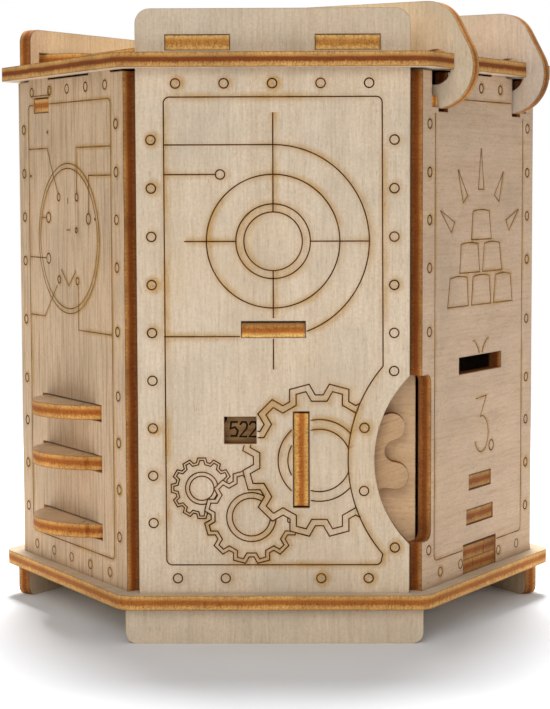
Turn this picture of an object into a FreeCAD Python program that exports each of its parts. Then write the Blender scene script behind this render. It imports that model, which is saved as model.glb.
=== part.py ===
import FreeCAD, Part
import math
import os

# A six-sided plywood puzzle box with a hooked lid, a number wheel and three code dials.
# Frame: millimetres, +Z up, origin at the centre of the box on the plane its feet stand on,
# the front wall faces -Y.
#
# Everything that belongs to one side of the box is drawn in that side's own axes:
#   n = distance out from the box's centre line, u = to the right seen from outside, z = up.
# turned(shape, SIDE) then swings it round to its side.

FRONT = -90
RIGHT_FRONT = -30
RIGHT_BACK = 30
BACK = 90
LEFT_BACK = 150
LEFT_FRONT = 210
SIDES = [FRONT, RIGHT_FRONT, RIGHT_BACK, BACK, LEFT_BACK, LEFT_FRONT]

# ---- the plywood and the fits between its pieces ----
PLY = 4.0
SLIP = 0.15            # play on each side of a tenon in its slot
FACE_SLIP = 0.05       # play across the thickness of a tenon
TAB_SLOT_WIDTH = 4.5   # the slots in the long walls for the shelf's tabs and the wheel's rib
END_SET_BACK = 0.3     # how far a through tenon's end stays below the wall's face
PAST = 1.0             # cutting tools run this far past a sheet, tabs start this far inside one
SMALL_CORNER = 2.0     # rounding of small inner corners

# ---- the box ----
WALL_OUT = 67.6        # centre line to the outer face of a wall
WALL_IN = WALL_OUT - PLY
WALL_WIDTH = 73.4      # so that the inner edges all but meet at the corners
WALL_HEIGHT = 141.75   # between the base plate and the top plate
OVERHANG = 4.2         # of both plates past the walls
PLATE_OUT = WALL_OUT + OVERHANG
PLATE_CORNER = 5.5
FOOT_DROP = 10.0
FOOT_SPREAD = 3.9      # a foot is this much wider than its wall, each side
FOOT_CORNER = 3.0
TAB_RISE = 11.7        # a long wall stands this far above the top plate
TAB_CORNER = 4.0
SHOULDER_GAP = 0.6     # under the top plate, beside a short wall's tenons

FLOOR = FOOT_DROP + PLY            # top of the base plate
CEILING = FLOOR + WALL_HEIGHT      # underside of the top plate
DECK = CEILING + PLY               # top of the top plate
HALF_WALL = WALL_WIDTH / 2
TENON = (14.3, 28.7)               # a short wall's two tenons, either side of its middle
HINGE_WALL_TENON = (7.0, 17.0)     # the same along the top of the hinge wall
KEY_SLOT = (11.3, 28.75)           # a long wall's two key slots, above the top plate
WIDE_KEY_SLOT_END = 32.5           # the left back wall's slot runs on to here
KEY_SLOT_Z = (DECK + 0.6, DECK + 4.8)

# ---- shelves ----
SHELF_Z = FLOOR + 69.55
SHELF_TAB = 8.55                   # half width
SHELF_SLIP = 0.2                   # shelf edge to wall
FLOOR_LAYERS = 2
LAYERS_TOP = FLOOR + FLOOR_LAYERS * PLY
LAYERS_FRONT = 53.5                # the floor layers stop here, behind the wheel's backplate

# ---- number wheel ----
WHEEL_U = 7.42
WHEEL_Z = FLOOR + 36.44
WHEEL_FACE = WALL_IN - 0.5         # its front face
WHEEL_LOBES = 12
LOBE_RING = 26.05                  # lobe centres
LOBE_RADIUS = 3.7
VALLEY_RING = 25.8
VALLEY_RADIUS = 3.0
FIRST_LOBE = 18.7                  # degrees
RIB_HALF_HEIGHT = 12.6
RIB_SLOT_HALF_HEIGHT = 13.15
RIB_HEEL = 12.0                    # how far the rib reaches in behind the wheel's backplate
RIB_HEEL_RISE = 4.0                # and above its nose
RIB_HEEL_CORNER = 6.0
WHEEL_PLAY = 0.06                  # wheel bore to the rib's corners
BACKPLATE_FACE = WALL_IN - 5.5
BACKPLATE_LEFT = -24.0
BACKPLATE_RIGHT = 38.8
BACKPLATE_TOP = FLOOR + 66.0
BACKPLATE_TENONS = ((-16.0, -4.0), (18.0, 30.0))
WINDOW_U = (-13.43, -4.65)
WINDOW_Z = (FLOOR + 40.8, FLOOR + 48.2)
FINGER_NOTCH_Z = FLOOR + 36.2
FINGER_NOTCH_RADIUS = 32.4
FINGER_NOTCH_DEPTH = 9.5

# ---- code dials ----
DIAL_N = WALL_OUT - 10.2           # the axle, on the left front side's middle line
DIAL_RADIUS = 20.6
DIAL_BOTTOMS = {
    "code_dial_top": FLOOR + 45.3,
    "code_dial_middle": FLOOR + 31.05,
    "code_dial_bottom": FLOOR + 11.9,
}
DIAL_SLOT_HALF = 20.9
DIAL_SLOT_PLAY = 0.35
AXLE_RADIUS = 3.0
AXLE_SEAT_PLAY = 0.02
DIAL_PLAY = 0.05
SPACER_RADIUS = 5.0
SPACER_GAP = 0.1
INDEX_ANGLE = 52.0                 # the small notch on a dial's rim, from the wall's normal
INDEX_DEPTH = 0.9
INDEX_PAST_RIM = 0.2

# ---- lock bar: rises through the dials' gates ----
BAR_U = 8.0
BAR_N = (27.4, 35.4)
BARB_TIP = 43.5
BARB_HEIGHT = 3.0
BARB_GAP = 0.5
BAR_FOOT = FLOOR - 3.5
BAR_ARM_Z = (FLOOR + 53.0, FLOOR + 59.5)
BAR_STEM_N = (56.0, 60.0)
BAR_STEM_TOP = FLOOR + 131.4
GATE_FLOOR = 44.3
GATE_HALF = 2.7
GUIDE_SLIP = 0.2

# ---- bolt that holds the lid's tongue ----
BOLT_Z = FLOOR + 131.9
BOLT_HOLE_U = (-25.0, -13.9)
BOLT_HOLE_Z = (FLOOR + 131.75, FLOOR + 136.3)
BOLT_HEAD_N = (53.0, 62.6)
BOLT_HEAD_U = (-24.8, 13.0)
BOLT_TAIL_U = (-24.8, -14.3)
BOLT_NOSE_U = (-19.0, -9.0)
BOLT_NOSE_END = 44.0
BAR_WAY_PLAY = 0.4                 # the lock bar's stem in the bolt's hole
TRAY_GAP = 0.1                     # under the bolt
TRAY_Z = BOLT_Z - TRAY_GAP - PLY
TRAY_N = (46.0, 62.0)
TRAY_TAB_N = (50.0, 58.0)
HANGER_TENON_N = (49.0, 57.0)
HANGER_GAP = 0.3

# ---- lid ----
LID_GAP = 0.1                      # between the closed lid and the top plate
LID_Z = DECK + LID_GAP
LID_SIDE = 48.5                    # centre line to the lid's edge
LID_HINGE_SIDE = 52.0              # the same where the hooks are
LID_CORNER = 4.0
TONGUE_N = (39.0, 43.0)
TONGUE_U = (-23.0, -5.0)
TONGUE_HOLE_U = (-19.8, -8.2)
TONGUE_HOLE_PLAY = 0.6             # above and below the bolt's nose
TONGUE_BOTTOM = BOLT_Z - 5.0
TONGUE_TENON_U = (-19.0, -9.0)
TONGUE_SLOT_PLAY = 2.2
ACCESS_RADIUS = 31.0               # the round way into the compartment

# ---- hinge: two hooks round the top plate's edge ----
HINGE_N = 66.0
HINGE_Z = CEILING + 0.65
HOOK_U = 24.15
HOOK_BORE = 4.8
HOOK_RADIUS = 11.3
HOOK_TIP_ANGLE = 255.0             # where the jaw ends, degrees from straight out
HOOK_SHOULDER = (63.3, CEILING + 8.75)
HOOK_SHOULDER_RADIUS = 9.8
HOOK_NOTCH_FLOOR = 69.0
HOOK_NOTCH_HALF = 2.25
HOOK_SLOT_U = (21.4, 27.2)
HOOK_SLOT_FLOOR = CEILING - 11.45
ARM_END = -33.0
ARM_END_HEIGHT = 4.0               # of the arm's end above the lid, before it curves up
ARM_STEP = 1.0                     # from the lid's hinge edge to where the arm steps down
ARM_TENONS = ((-25.0, -10.0), (15.0, 32.0))
CHEEK_U = (27.2, 31.2)
CHEEK_TAB_Z = (CEILING - 10.25, CEILING - 7.2)
CHEEK_STEP_TOP = CEILING - 4.2
CHEEK_STEP_N = WALL_IN + 1.6
CHEEK_BACK_N = 58.0
CHEEK_N = 48.0
CHEEK_BOTTOM = CEILING - 13.0
CHEEK_TENON_N = (50.0, 57.0)

# ---- coin slot and stepped windows in the right front wall ----
WINDOW_SHIFT = 0.5                 # they sit this far right of the wall's middle
COIN_SLOT_HALF = 14.25
COIN_SLOT_Z = (FLOOR + 57.35, FLOOR + 62.15)
STEPS = {
    "coin_step_upper": {"half": 7.3, "z": FLOOR + 24.0},
    "coin_step_lower": {"half": 8.8, "z": FLOOR + 14.1},
}
STEP_WINDOW_PLAY = 0.25
FLOOR_TAB_HALF = 10.95
FLOOR_WINDOW_TOP = FLOOR + 8.6
SEAM_GAP = 0.3
LOWER_SEAM_U = -3.8
UPPER_SEAM_U = 3.65
STEP_WALL_N = (38.0, 42.0)
STEP_WALL_HALF = 20.0
STEP_WALL_TOP = FLOOR + 40.0
STEP_INNER_HALF = 15.0
STEP_WALL_TENON = (12.0, 18.0)
EDGE_NOTCH_DEPTH = 5.5
EDGE_NOTCH_HALF = 22.8
EDGE_NOTCH_CORNER = 2.5

# ---- keys that lock the top plate down ----
KEY_Z = KEY_SLOT_Z[0] + 0.05       # its prongs rest in the walls' slots
KEY_HALF = KEY_SLOT[1] - SLIP
KEY_INNER = 51.0
KEY_CORNER = 3.0

NO_LENGTH = 1e-6       # shorter than this isn't an edge

Z_AXIS = FreeCAD.Vector(0, 0, 1)
HERE = FreeCAD.Vector(0, 0, 0)


def turned(shape, side):
    """A shape drawn in a side's own axes, swung round to that side."""
    placed = shape.copy()
    placed.rotate(HERE, Z_AXIS, side)
    return placed


def box(n_span, u_span, z_span):
    corner = FreeCAD.Vector(n_span[0], u_span[0], z_span[0])
    return Part.makeBox(n_span[1] - n_span[0], u_span[1] - u_span[0], z_span[1] - z_span[0], corner)


def on_wall(a, b):
    return FreeCAD.Vector(0, a, b)


def on_rib(a, b):
    return FreeCAD.Vector(a, 0, b)


def on_deck(a, b):
    return FreeCAD.Vector(a, b, 0)


def rounded_face(points, to_space):
    """A flat face from corners (a, b) or (a, b, radius), each radius rounding its corner."""
    corners = [to_space(p[0], p[1]) for p in points]
    radii = [p[2] if len(p) > 2 else 0 for p in points]
    count = len(corners)
    starts = []
    ends = []
    middles = []
    for i in range(count):
        here = corners[i]
        back = (corners[i - 1] - here).normalize()
        ahead = (corners[(i + 1) % count] - here).normalize()
        half_angle = back.getAngle(ahead) / 2
        reach = radii[i] / math.tan(half_angle)
        starts.append(here + back * reach)
        ends.append(here + ahead * reach)
        bisector = (back + ahead).normalize()
        middles.append(here + bisector * (radii[i] / math.sin(half_angle) - radii[i]))
    edges = []
    for i in range(count):
        if radii[i] > 0:
            edges.append(Part.Arc(starts[i], middles[i], ends[i]).toShape())
        following = starts[(i + 1) % count]
        if ends[i].distanceToPoint(following) > NO_LENGTH:
            edges.append(Part.LineSegment(ends[i], following).toShape())
    return Part.Face(Part.Wire(edges))


def wall_plate(points, n_out=WALL_OUT):
    """Ply standing square to n, drawn as (u, z), with its outer face at n_out."""
    plate = rounded_face(points, on_wall).extrude(FreeCAD.Vector(PLY, 0, 0))
    plate.translate(FreeCAD.Vector(n_out - PLY, 0, 0))
    return plate


def rib_plate(points, u_middle):
    """Ply standing square to u, drawn as (n, z)."""
    plate = rounded_face(points, on_rib).extrude(FreeCAD.Vector(0, PLY, 0))
    plate.translate(FreeCAD.Vector(0, u_middle - PLY / 2, 0))
    return plate


def deck_plate(points, z_low):
    """Ply lying flat, drawn as (n, u)."""
    plate = rounded_face(points, on_deck).extrude(FreeCAD.Vector(0, 0, PLY))
    plate.translate(FreeCAD.Vector(0, 0, z_low))
    return plate


def rectangle(a_span, b_span, radius=0):
    return [
        (a_span[0], b_span[0], radius),
        (a_span[1], b_span[0], radius),
        (a_span[1], b_span[1], radius),
        (a_span[0], b_span[1], radius),
    ]


def mirrored(span):
    return (-span[1], -span[0])


def both_sides(span):
    return [span, mirrored(span)]


def hexagon(apothems, radius):
    """Corners of a six-sided plate. apothems gives each side's distance from the centre."""
    corners = []
    for i, side in enumerate(SIDES):
        following = SIDES[(i + 1) % len(SIDES)]
        a = math.radians(side)
        b = math.radians(following)
        first = apothems[side]
        second = apothems[following]
        det = math.cos(a) * math.sin(b) - math.sin(a) * math.cos(b)
        x = (first * math.sin(b) - second * math.sin(a)) / det
        y = (second * math.cos(a) - first * math.cos(b)) / det
        corners.append((x, y, radius))
    return corners


def even_hexagon(apothem, radius):
    return hexagon({side: apothem for side in SIDES}, radius)


def disc(radius, z_low, height=PLY, centre=HERE):
    base = FreeCAD.Vector(centre.x, centre.y, z_low)
    return Part.makeCylinder(radius, height, base)


def cut_all(shape, tools):
    for tool in tools:
        shape = shape.cut(tool)
    return shape


def join_all(shape, extras):
    for extra in extras:
        shape = shape.fuse(extra)
    return shape.removeSplitter()


def widened(span, play):
    return (span[0] - play, span[1] + play)


# ---------------------------------------------------------------- walls


def long_wall(key_slots):
    """A wall with a foot below the base plate and a tab above the top plate."""
    foot = HALF_WALL + FOOT_SPREAD
    top = DECK + TAB_RISE
    wall = wall_plate([
        (-foot, 0, FOOT_CORNER),
        (foot, 0, FOOT_CORNER),
        (foot, FOOT_DROP),
        (HALF_WALL, FOOT_DROP),
        (HALF_WALL, top, TAB_CORNER),
        (-HALF_WALL, top, TAB_CORNER),
        (-HALF_WALL, FOOT_DROP),
        (-foot, FOOT_DROP),
    ])
    through = widened((WALL_IN, WALL_OUT), PAST)
    slots = [box(through, span, KEY_SLOT_Z) for span in key_slots]
    shelf_half = SHELF_TAB + SLIP
    slots.append(box(through, (-shelf_half, shelf_half), (SHELF_Z, SHELF_Z + TAB_SLOT_WIDTH)))
    return cut_all(wall, slots)


def front_wall():
    wall = long_wall(both_sides(KEY_SLOT))
    through = widened((WALL_IN, WALL_OUT), PAST)
    rib_slot = box(
        through,
        (WHEEL_U - TAB_SLOT_WIDTH / 2, WHEEL_U + TAB_SLOT_WIDTH / 2),
        (WHEEL_Z - RIB_SLOT_HALF_HEIGHT, WHEEL_Z + RIB_SLOT_HALF_HEIGHT),
    )
    number_window = box(through, WINDOW_U, WINDOW_Z)
    notch_centre = HALF_WALL - FINGER_NOTCH_DEPTH + FINGER_NOTCH_RADIUS
    finger_notch = Part.makeCylinder(
        FINGER_NOTCH_RADIUS,
        PLY + 2 * PAST,
        FreeCAD.Vector(WALL_IN - PAST, notch_centre, FINGER_NOTCH_Z),
        FreeCAD.Vector(1, 0, 0),
    )
    return turned(cut_all(wall, [rib_slot, number_window, finger_notch]), FRONT)


def left_back_wall():
    wide_slot = (KEY_SLOT[0], WIDE_KEY_SLOT_END)
    return turned(long_wall([wide_slot, mirrored(KEY_SLOT)]), LEFT_BACK)


def right_back_wall():
    return turned(long_wall(both_sides(KEY_SLOT)), RIGHT_BACK)


def short_wall(top_tenons):
    """A wall that ends at the two plates and is held by tenons in them."""
    wall = wall_plate(rectangle((-HALF_WALL, HALF_WALL), (FLOOR, CEILING - SHOULDER_GAP)))
    thickness = (WALL_IN, WALL_OUT)
    tenons = [box(thickness, span, (FOOT_DROP, FLOOR)) for span in both_sides(TENON)]
    tenons += [box(thickness, span, (CEILING - SHOULDER_GAP, DECK)) for span in top_tenons]
    return join_all(wall, tenons)


def left_front_wall():
    wall = short_wall(both_sides(TENON))
    through = widened((WALL_IN, WALL_OUT), PAST)
    cuts = [box(through, BOLT_HOLE_U, BOLT_HOLE_Z)]
    for low in DIAL_BOTTOMS.values():
        slot_z = widened((low, low + PLY), DIAL_SLOT_PLAY)
        cuts.append(box(through, (-DIAL_SLOT_HALF, DIAL_SLOT_HALF), slot_z))
    return turned(cut_all(wall, cuts), LEFT_FRONT)


def back_wall():
    return turned(short_wall(both_sides(TENON)), BACK)


def right_front_wall():
    wall = short_wall(both_sides(HINGE_WALL_TENON))
    through = widened((WALL_IN, WALL_OUT), PAST)
    cuts = [box(through, span, (HOOK_SLOT_FLOOR, DECK)) for span in both_sides(HOOK_SLOT_U)]
    cheek_slot = (CHEEK_U[0] - FACE_SLIP, CHEEK_U[1] + SLIP)
    cuts += [box(through, span, (CHEEK_TAB_Z[0], DECK)) for span in both_sides(cheek_slot)]
    coin_span = (WINDOW_SHIFT - COIN_SLOT_HALF, WINDOW_SHIFT + COIN_SLOT_HALF)
    cuts.append(box(through, coin_span, COIN_SLOT_Z))
    for step in STEPS.values():
        half = step["half"] + SLIP
        window = (WINDOW_SHIFT - half, WINDOW_SHIFT + half)
        cuts.append(box(through, window, widened((step["z"], step["z"] + PLY), STEP_WINDOW_PLAY)))
    half = FLOOR_TAB_HALF + SLIP
    floor_window = (WINDOW_SHIFT - half, WINDOW_SHIFT + half)
    cuts.append(box(through, floor_window, (FLOOR, FLOOR_WINDOW_TOP)))
    cuts.append(wall_edge_notch())
    return turned(cut_all(wall, cuts), RIGHT_FRONT)


def wall_edge_notch():
    """Finger room cut into the near edge of the right front wall, beside the number wheel."""
    inner = -HALF_WALL + EDGE_NOTCH_DEPTH
    outer = -HALF_WALL - EDGE_NOTCH_DEPTH
    low = FINGER_NOTCH_Z - EDGE_NOTCH_HALF
    high = FINGER_NOTCH_Z + EDGE_NOTCH_HALF
    points = [
        (outer, low),
        (inner, low, EDGE_NOTCH_CORNER),
        (inner, high, EDGE_NOTCH_CORNER),
        (outer, high),
    ]
    tool = rounded_face(points, on_wall).extrude(FreeCAD.Vector(PLY + 2 * PAST, 0, 0))
    tool.translate(FreeCAD.Vector(WALL_IN - PAST, 0, 0))
    return tool


# ---------------------------------------------------------------- base and top plates


def wall_slot(side, z_span):
    """The slot in a plate that a long wall passes through."""
    slot = box(
        widened((WALL_IN, WALL_OUT), FACE_SLIP),
        widened((-HALF_WALL, HALF_WALL), SLIP),
        z_span,
    )
    return turned(slot, side)


def tenon_slots(side, tenons, z_span, n_span=(WALL_IN, WALL_OUT)):
    cuts = []
    for span in tenons:
        slot = box(widened(n_span, FACE_SLIP), widened(span, SLIP), z_span)
        cuts.append(turned(slot, side))
    return cuts


def base_plate():
    plate = deck_plate(even_hexagon(PLATE_OUT, PLATE_CORNER), FOOT_DROP)
    through = widened((FOOT_DROP, FLOOR), PAST)
    cuts = []
    for side in (FRONT, RIGHT_BACK, LEFT_BACK):
        cuts.append(wall_slot(side, through))
    for side in (RIGHT_FRONT, BACK, LEFT_FRONT):
        cuts += tenon_slots(side, both_sides(TENON), through)
    backplate_n = (BACKPLATE_FACE - PLY, BACKPLATE_FACE)
    cuts += tenon_slots(FRONT, BACKPLATE_TENONS, through, backplate_n)
    cuts.append(turned(bar_slot(through), LEFT_FRONT))
    cuts.append(turned(axle_hole(through), LEFT_FRONT))
    return cut_all(plate, cuts)


def bar_slot(z_span):
    return box(
        widened(BAR_N, GUIDE_SLIP),
        widened((BAR_U - PLY / 2, BAR_U + PLY / 2), GUIDE_SLIP),
        z_span,
    )


def stem_slot(z_span):
    return box(
        widened(BAR_STEM_N, GUIDE_SLIP),
        widened((BAR_U - PLY / 2, BAR_U + PLY / 2), GUIDE_SLIP),
        z_span,
    )


def axle_hole(z_span):
    centre = FreeCAD.Vector(DIAL_N, 0, 0)
    return disc(AXLE_RADIUS + AXLE_SEAT_PLAY, z_span[0], z_span[1] - z_span[0], centre)


def top_plate():
    plate = deck_plate(even_hexagon(PLATE_OUT, PLATE_CORNER), CEILING)
    through = widened((CEILING, DECK), PAST)
    cuts = [disc(ACCESS_RADIUS, CEILING - PAST, PLY + 2 * PAST)]
    for side in (FRONT, RIGHT_BACK, LEFT_BACK):
        cuts.append(wall_slot(side, through))
    for side in (BACK, LEFT_FRONT):
        cuts += tenon_slots(side, both_sides(TENON), through)
    cuts += tenon_slots(RIGHT_FRONT, both_sides(HINGE_WALL_TENON), through)
    cuts += tenon_slots(RIGHT_FRONT, both_sides(CHEEK_U), through, CHEEK_TENON_N)
    for middle in (-HOOK_U, HOOK_U):
        span = (middle - HOOK_NOTCH_HALF, middle + HOOK_NOTCH_HALF)
        cuts.append(turned(box((HOOK_NOTCH_FLOOR, PLATE_OUT + PAST), span, through), RIGHT_FRONT))
    cuts += tenon_slots(LEFT_FRONT, hanger_spans(), through, HANGER_TENON_N)
    tongue_way = box(
        widened(TONGUE_N, TONGUE_SLOT_PLAY),
        widened(TONGUE_U, TONGUE_SLOT_PLAY),
        through,
    )
    cuts.append(turned(tongue_way, LEFT_FRONT))
    return cut_all(plate, cuts)


def key(side):
    """A flat key just above the top plate. Its two prongs pass through a long wall's tab."""
    body = deck_plate([
        (KEY_INNER, -KEY_HALF, KEY_CORNER),
        (WALL_IN - SLIP, -KEY_HALF),
        (WALL_IN - SLIP, KEY_HALF),
        (KEY_INNER, KEY_HALF, KEY_CORNER),
    ], KEY_Z)
    reach = (WALL_IN - PAST, WALL_OUT - END_SET_BACK)
    prong = (KEY_SLOT[0] + SLIP, KEY_SLOT[1] - SLIP)
    prongs = [box(reach, span, (KEY_Z, KEY_Z + PLY)) for span in both_sides(prong)]
    return turned(join_all(body, prongs), side)


# ---------------------------------------------------------------- shelves and floor


def mid_shelf():
    shelf = deck_plate(even_hexagon(WALL_IN - SHELF_SLIP, 0), SHELF_Z)
    through = widened((SHELF_Z, SHELF_Z + PLY), PAST)
    tab = box((WALL_IN - PAST, WALL_OUT - END_SET_BACK), (-SHELF_TAB, SHELF_TAB), (SHELF_Z, SHELF_Z + PLY))
    shelf = join_all(shelf, [turned(tab, side) for side in (FRONT, RIGHT_BACK, LEFT_BACK)])
    holes = [turned(axle_hole(through), LEFT_FRONT), turned(stem_slot(through), LEFT_FRONT)]
    return cut_all(shelf, holes)


def floor_layer(z_low, seam_u, keep_front):
    """Half of one floor layer. The seam between the halves runs in from the hinge wall."""
    layer = deck_plate(even_hexagon(WALL_IN - SHELF_SLIP, 0), z_low)
    z_span = (z_low, z_low + PLY)
    through = widened(z_span, PAST)
    tab_u = (WINDOW_SHIFT - FLOOR_TAB_HALF, WINDOW_SHIFT + FLOOR_TAB_HALF)
    tab = box((WALL_IN - PAST, WALL_OUT - END_SET_BACK), tab_u, z_span)
    layer = join_all(layer, [turned(tab, RIGHT_FRONT)])
    far = 2 * WALL_OUT
    half_gap = SEAM_GAP / 2
    if keep_front:
        half = box((-far, far), (-far, seam_u - half_gap), through)
    else:
        half = box((-far, far), (seam_u + half_gap, far), through)
    layer = layer.common(turned(half, RIGHT_FRONT))
    cuts = [
        turned(box((LAYERS_FRONT, far), (-far, far), through), FRONT),
        turned(bar_slot(through), LEFT_FRONT),
        turned(axle_hole(through), LEFT_FRONT),
    ]
    if z_low > FLOOR:
        cuts += tenon_slots(RIGHT_FRONT, both_sides(STEP_WALL_TENON), through, STEP_WALL_N)
    return cut_all(layer, cuts)


def step_wall():
    """Upright plate behind the right front wall that carries the inner ends of the steps."""
    points = rectangle((-STEP_WALL_HALF, STEP_WALL_HALF), (LAYERS_TOP, STEP_WALL_TOP))
    wall = wall_plate(points, STEP_WALL_N[1])
    tenon_z = (LAYERS_TOP - PLY, LAYERS_TOP)
    tenons = [box(STEP_WALL_N, span, tenon_z) for span in both_sides(STEP_WALL_TENON)]
    wall = join_all(wall, tenons)
    through = widened(STEP_WALL_N, PAST)
    cuts = []
    for step in STEPS.values():
        half = step["half"] + SLIP
        z_span = widened((step["z"], step["z"] + PLY), FACE_SLIP)
        cuts.append(box(through, (WINDOW_SHIFT - half, WINDOW_SHIFT + half), z_span))
    return turned(cut_all(wall, cuts), RIGHT_FRONT)


def coin_step(step):
    half = step["half"]
    tab_out = WALL_OUT - END_SET_BACK
    step_out = WALL_IN - SHELF_SLIP
    step_in = STEP_WALL_N[1] + SLIP
    tab_in = STEP_WALL_N[0]
    wide = STEP_INNER_HALF
    plate = deck_plate([
        (tab_in, -half),
        (step_in, -half),
        (step_in, -wide),
        (step_out, -wide),
        (step_out, -half),
        (tab_out, -half),
        (tab_out, half),
        (step_out, half),
        (step_out, wide),
        (step_in, wide),
        (step_in, half),
        (tab_in, half),
    ], step["z"])
    plate.translate(FreeCAD.Vector(0, WINDOW_SHIFT, 0))
    return turned(plate, RIGHT_FRONT)


# ---------------------------------------------------------------- number wheel


def around_wheel(radius, angle):
    """A point on a circle round the wheel's axle, in the front side's axes."""
    a = math.radians(angle)
    return FreeCAD.Vector(0, WHEEL_U + radius * math.cos(a), WHEEL_Z + radius * math.sin(a))


def wheel_cylinder(radius, angle, ring):
    start = around_wheel(ring, angle)
    start.x = WHEEL_FACE - PLY
    return Part.makeCylinder(radius, PLY, start, FreeCAD.Vector(1, 0, 0))


def wheel_bore():
    """Just clear of the corners of the flat rib it turns on."""
    return math.hypot(RIB_HALF_HEIGHT, PLY / 2) + WHEEL_PLAY


def number_wheel():
    pitch = 360 / WHEEL_LOBES
    wheel = wheel_cylinder(LOBE_RING, 0, 0)
    valleys = []
    lobes = []
    for i in range(WHEEL_LOBES):
        lobe_angle = FIRST_LOBE + i * pitch
        lobes.append(wheel_cylinder(LOBE_RADIUS, lobe_angle, LOBE_RING))
        valleys.append(wheel_cylinder(VALLEY_RADIUS, lobe_angle + pitch / 2, VALLEY_RING))
    wheel = cut_all(wheel, valleys)
    wheel = join_all(wheel, lobes)
    wheel = wheel.cut(wheel_cylinder(wheel_bore(), 0, 0))
    return turned(wheel, FRONT)


def wheel_backplate():
    plate = wall_plate(
        rectangle((BACKPLATE_LEFT, BACKPLATE_RIGHT), (FLOOR, BACKPLATE_TOP)),
        BACKPLATE_FACE,
    )
    n_span = (BACKPLATE_FACE - PLY, BACKPLATE_FACE)
    tenons = [box(n_span, span, (FOOT_DROP, FLOOR)) for span in BACKPLATE_TENONS]
    plate = join_all(plate, tenons)
    half = PLY / 2 + SLIP
    rib_slot = box(
        widened(n_span, PAST),
        (WHEEL_U - half, WHEEL_U + half),
        widened((WHEEL_Z - RIB_HALF_HEIGHT, WHEEL_Z + RIB_HALF_HEIGHT), SLIP),
    )
    return turned(plate.cut(rib_slot), FRONT)


def wheel_rib():
    """The flat rib the number wheel turns on: its nose shows in the front wall."""
    nose = WALL_OUT - END_SET_BACK
    shoulder = BACKPLATE_FACE - PLY - FACE_SLIP
    heel = shoulder - RIB_HEEL
    nose_top = WHEEL_Z + RIB_HALF_HEIGHT
    rib = rib_plate([
        (heel, LAYERS_TOP),
        (shoulder, LAYERS_TOP),
        (shoulder, WHEEL_Z - RIB_HALF_HEIGHT),
        (nose, WHEEL_Z - RIB_HALF_HEIGHT),
        (nose, nose_top),
        (shoulder, nose_top),
        (shoulder, nose_top + RIB_HEEL_RISE),
        (heel, nose_top + RIB_HEEL_RISE, RIB_HEEL_CORNER),
    ], WHEEL_U)
    return turned(rib, FRONT)


# ---------------------------------------------------------------- code dials and lock bar


def code_dial(z_low, has_index):
    centre = FreeCAD.Vector(DIAL_N, 0, 0)
    dial = disc(DIAL_RADIUS, z_low, PLY, centre)
    through = widened((z_low, z_low + PLY), PAST)
    bore = disc(AXLE_RADIUS + DIAL_PLAY, z_low - PAST, PLY + 2 * PAST, centre)
    gate = box((DIAL_N - DIAL_RADIUS - PAST, GATE_FLOOR), (BAR_U - GATE_HALF, BAR_U + GATE_HALF), through)
    dial = cut_all(dial, [bore, gate])
    if has_index:
        dial = dial.cut(index_notch(through))
    return turned(dial, LEFT_FRONT)


def index_notch(z_span):
    """A small V in the rim."""
    rim = DIAL_RADIUS + INDEX_PAST_RIM
    tip = DIAL_RADIUS - INDEX_DEPTH
    points = [(tip, 0), (rim, INDEX_DEPTH), (rim, -INDEX_DEPTH)]
    tool = rounded_face(points, on_deck).extrude(FreeCAD.Vector(0, 0, z_span[1] - z_span[0]))
    tool.rotate(HERE, Z_AXIS, INDEX_ANGLE)
    tool.translate(FreeCAD.Vector(DIAL_N, 0, z_span[0]))
    return tool


def dial_axle():
    centre = FreeCAD.Vector(DIAL_N, 0, 0)
    return turned(disc(AXLE_RADIUS, FOOT_DROP, SHELF_Z + PLY - FOOT_DROP, centre), LEFT_FRONT)


def dial_spacers():
    """Sleeves on the axle that hold the dials at their heights."""
    centre = FreeCAD.Vector(DIAL_N, 0, 0)
    lows = sorted(DIAL_BOTTOMS.values())
    starts = [LAYERS_TOP] + [low + PLY + SPACER_GAP for low in lows]
    ends = [low - SPACER_GAP for low in lows] + [SHELF_Z - SPACER_GAP]
    sleeves = []
    for start, end in zip(starts, ends):
        sleeve = disc(SPACER_RADIUS, start, end - start, centre)
        sleeve = sleeve.cut(axle_hole((start - PAST, end + PAST)))
        sleeves.append(turned(sleeve, LEFT_FRONT))
    return Part.makeCompound(sleeves)


def lock_bar():
    """Upright plate whose barbs sit under the dials and pass up through their gates."""
    body_in, body_out = BAR_N
    stem_in, stem_out = BAR_STEM_N
    points = [(body_in, BAR_FOOT), (body_out, BAR_FOOT)]
    for low in sorted(DIAL_BOTTOMS.values()):
        barb_top = low - BARB_GAP
        barb_low = barb_top - BARB_HEIGHT
        points += [(body_out, barb_low), (BARB_TIP, barb_low), (BARB_TIP, barb_top), (body_out, barb_top)]
    points += [
        (body_out, BAR_ARM_Z[0]),
        (stem_out, BAR_ARM_Z[0], SMALL_CORNER),
        (stem_out, BAR_STEM_TOP),
        (stem_in, BAR_STEM_TOP),
        (stem_in, BAR_ARM_Z[1]),
        (body_in, BAR_ARM_Z[1], SMALL_CORNER),
    ]
    return turned(rib_plate(points, BAR_U), LEFT_FRONT)


# ---------------------------------------------------------------- bolt, tray and hangers


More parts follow.
